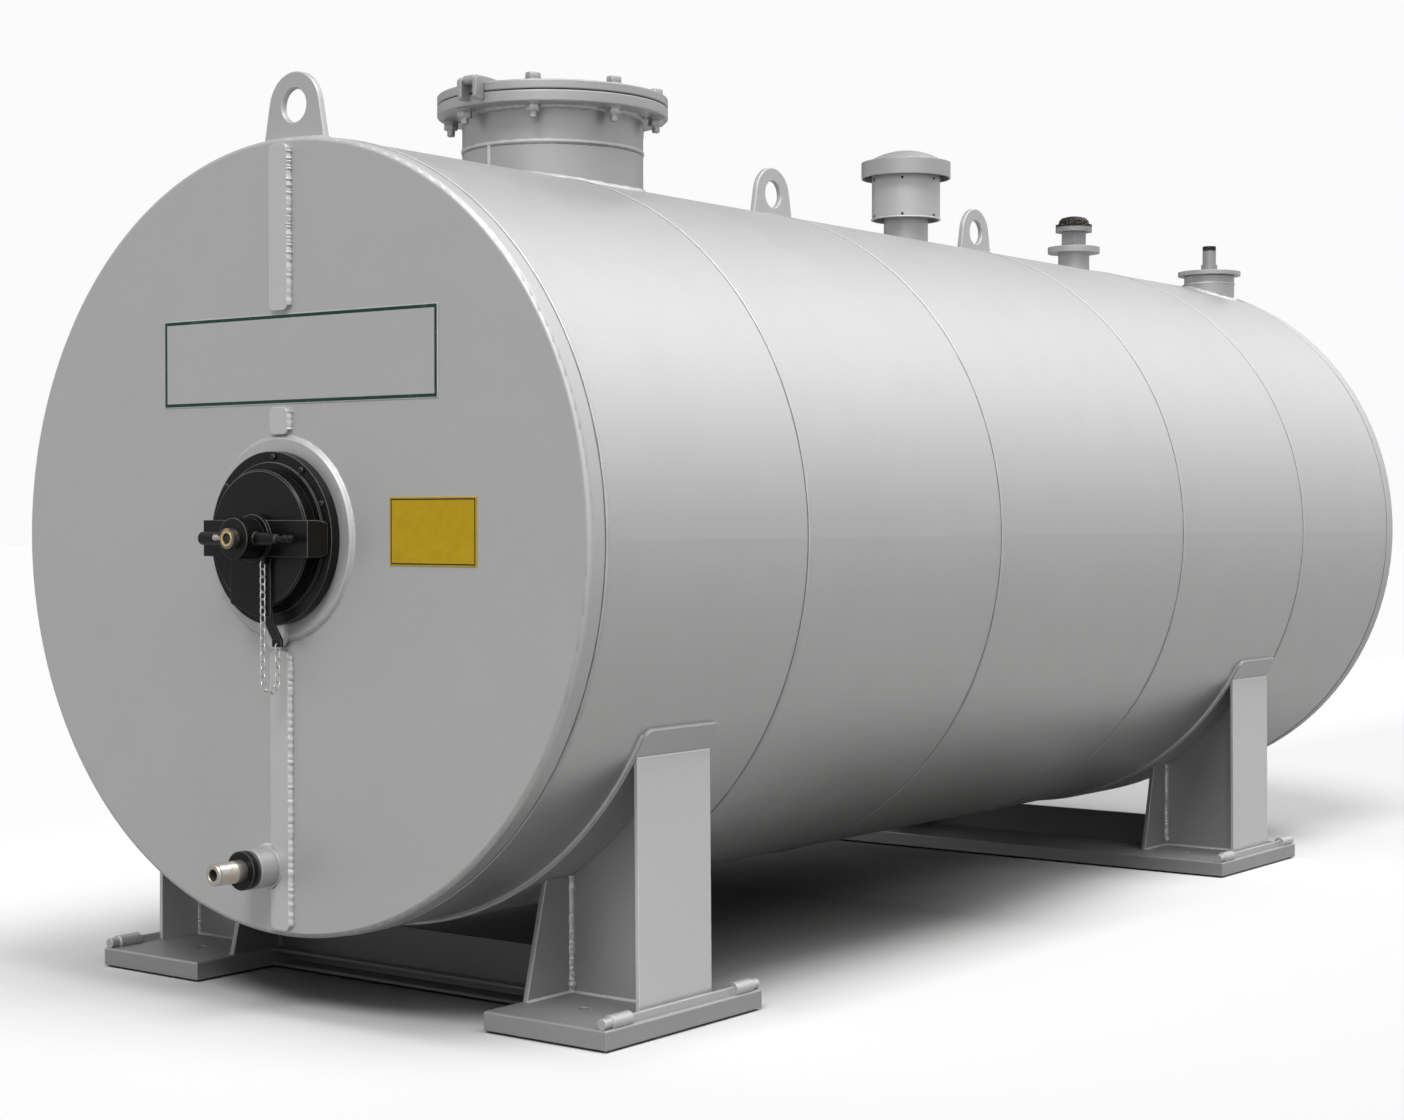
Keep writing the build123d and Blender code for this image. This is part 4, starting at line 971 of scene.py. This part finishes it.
class TANK_OT_plates(bpy.types.Operator):
    """Adds the bare sign plate and the small yellow plate on the front head"""

    bl_idname = "tank.plates"
    bl_label = "Bare plates"

    def execute(self, context):
        props = context.scene.tank_finish
        sign_inset, sign_line, label_inset, label_line = 0.003, 0.009, 0.004, 0.004
        silver_finish("sign silver", tuple(props.silver), 0.38, tuple(props.green),
                      (SIGN_CENTRE, SIGN_HALF, sign_inset, sign_line))
        self.plate("sign_plate", "sign silver", SIGN_CENTRE, SIGN_HALF)
        label_finish("plate yellow", tuple(props.yellow), tuple(props.black),
                     (LABEL_CENTRE, LABEL_HALF, label_inset, label_line))
        self.plate("small_plate", "plate yellow", LABEL_CENTRE, LABEL_HALF)
        return {"FINISHED"}

    def plate(self, name, finish, centre, half):
        """Thin sheet on the head with eased edges."""
        proud, sunk, ease = 0.0022, 0.0010, 0.0007
        low = (centre[0] - half[0], FRONT_Y - proud, centre[1] - half[1])
        high = (centre[0] + half[0], FRONT_Y + sunk, centre[1] + half[1])
        Shape().grid(slab(low, high, ease), False, True).piece(name, finish)


class TANK_OT_stage(bpy.types.Operator):
    """Adds the floor, the studio light, the white surround and the camera"""

    bl_idname = "tank.stage"
    bl_label = "Stage"

    def execute(self, context):
        scene, props = context.scene, context.scene.tank_stage
        self.floor(props)
        self.surround(scene, props)
        for name, strength, width, side in (("wide lamp", props.lamp, props.lamp_spread, props.lamp_from),
                                            ("fill lamp", props.fill, props.fill_spread, props.fill_from)):
            lamp = bpy.data.lights.new(name, "SUN")
            lamp.energy, lamp.angle = strength, width
            thing = bpy.data.objects.new(name, lamp)
            thing.rotation_euler = Vector(side).to_track_quat("Z", "Y").to_euler()
            scene.collection.objects.link(thing)
        camera = bpy.data.cameras.new("camera")
        camera.sensor_width, camera.lens = CAMERA_SENSOR, CAMERA_LENS
        camera.clip_end = 200.0
        eye = bpy.data.objects.new("camera", camera)
        eye.location = CAMERA_PLACE
        eye.rotation_euler = (np.radians(90.0 - CAMERA_DIP), 0.0, np.radians(CAMERA_TURN))
        scene.collection.objects.link(eye)
        scene.camera = eye
        scene.view_settings.view_transform = "Standard"
        return {"FINISHED"}

    def floor(self, props):
        """Wide pale floor that keeps the shadow, with painted light that makes it paler beyond the far side and
        painted shade that makes it darker under the front of the tank and, in reflections, beside the rear.
        """
        reach, low = 90.0, -0.007
        mesh = bpy.data.meshes.new("floor")
        corners = [(-reach, -reach, low), (reach, -reach, low), (reach, reach, low), (-reach, reach, low)]
        mesh.from_pydata(corners, [], [(0, 1, 2, 3)])
        pale = Finish("pale floor", Roughness=1.0, Specular_IOR_Level=0.0)
        x, y = pale.axis("X"), pale.axis("Y")
        # Painted light: mask of the paler floor beyond the far side
        far = self.fade(pale, x, [(-4.0, 0.4), (-2.8, 1.0), (-1.92, 1.0), (-0.8, 0.0)])
        beside = self.fade(pale, x, [(0.8, 1.0), (1.44, 0.0)])
        rear = self.fade(pale, y, [(-1.6, 0.0), (-0.24, 1.0), (0.8, 1.0), (1.76, 0.1)])
        inside = self.fade(pale, x, [(-1.2, 0.0), (-0.6, 1.0), (0.6, 1.0), (1.2, 0.0)])
        front = self.fade(pale, y, [(-2.64, 0.0), (-2.08, 1.0), (0.0, 1.0), (0.96, 0.0)])
        # Painted shade: the floor as reflections show it is darker beside the rear of the tank
        shine = pale.mix(beside * rear * props.shine_painted_shade, tuple(props.floor_shine), (0.0, 0.0, 0.0))
        back = pale.mix(pale.ray("Glossy"), tuple(props.floor_back), shine)
        seen = pale.mix(far, tuple(props.floor), tuple(props.floor_painted_light))
        # Painted shade: the floor is darker under the front of the tank
        seen = pale.mix(inside * front * props.under, seen, tuple(props.floor_back))
        pale.feed(Base_Color=pale.mix(pale.ray("Camera"), back, seen))
        mesh.materials.append(pale.material)
        floor = bpy.data.objects.new("floor", mesh)
        bpy.context.scene.collection.objects.link(floor)

    def fade(self, pale, value, stops):
        """Level that changes with a place on the floor, given at places in metres within the reach."""
        reach = 4.0
        return pale.ramp(value * (0.5 / reach) + 0.5, [(0.5 + 0.5 * place / reach, grey) for place, grey in stops])

    def surround(self, scene, props):
        """White to the camera; soft light from above; horizon, top and two bright patches in reflections."""
        world = bpy.data.worlds.new("surround")
        scene.world = world
        world.use_nodes = True
        sky = Nodes(world.node_tree, "Generated")
        rise = sky.math("MAXIMUM", sky.axis("Z"), 0.0)
        far = sky.math("MINIMUM", sky.axis("X"), 0.0)
        rear = sky.math("MAXIMUM", sky.axis("Y"), 0.0)
        soft = self.glow(sky, props.sky_from, power=6.0) * props.sky
        shine = props.shine_low + rise * (props.shine_high - props.shine_low)
        shine = shine * (1 + far * rear * props.far_dim)
        shine = shine + self.glow(sky, props.rear_from, power=6.0) * rise * props.rear_glow
        shine = shine + self.glow(sky, props.front_from, power=3.0) * props.front_glow
        camera_ray, glossy_ray = sky.ray("Camera"), sky.ray("Glossy")
        light = soft * (1 - glossy_ray) + shine * glossy_ray
        strength = light * (1 - camera_ray) + camera_ray * props.white
        background = sky.node("ShaderNodeBackground", {}, {"Color": (1.0, 1.0, 1.0), "Strength": strength})
        output = sky.tree.nodes.new("ShaderNodeOutputWorld")
        sky.tree.links.new(background.socket, output.inputs["Surface"])

    def glow(self, sky, side, power):
        """Soft bright patch of the surround, strongest towards one side."""
        facing = sky.math("MAXIMUM", sky.dot(sky.place, tuple(Vector(side).normalized())), 0.0)
        return sky.math("POWER", facing, power)


class TANK_PT_sidebar(bpy.types.Panel):
    """Lists the steps that dress the tank"""

    bl_idname = "TANK_PT_sidebar"
    bl_label = "Diesel tank"
    bl_space_type = "VIEW_3D"
    bl_region_type = "UI"
    bl_category = "Tank"

    def draw(self, context):
        for step in STEPS:
            self.layout.operator(step.bl_idname)


STEPS = (TANK_OT_paint, TANK_OT_seams, TANK_OT_nozzles, TANK_OT_head_welds, TANK_OT_saddle_welds,
         TANK_OT_bolts, TANK_OT_fittings, TANK_OT_hatch_trim, TANK_OT_drain_thread, TANK_OT_chain,
         TANK_OT_plates, TANK_OT_stage)
GROUPS = {"tank_finish": TankFinishProps, "tank_sizes": TankSizeProps, "tank_stage": TankStageProps}
CLASSES = (*GROUPS.values(), *STEPS, TANK_PT_sidebar)


def register():
    for cls in CLASSES:
        bpy.utils.register_class(cls)
    for name, group in GROUPS.items():
        setattr(bpy.types.Scene, name, PointerProperty(type=group))


def unregister():
    for name in GROUPS:
        delattr(bpy.types.Scene, name)
    for cls in reversed(CLASSES):
        bpy.utils.unregister_class(cls)


def main():
    register()
    for step in STEPS:
        group, name = step.bl_idname.split(".")
        getattr(getattr(bpy.ops, group), name)()


if __name__ == "__main__":
    main()
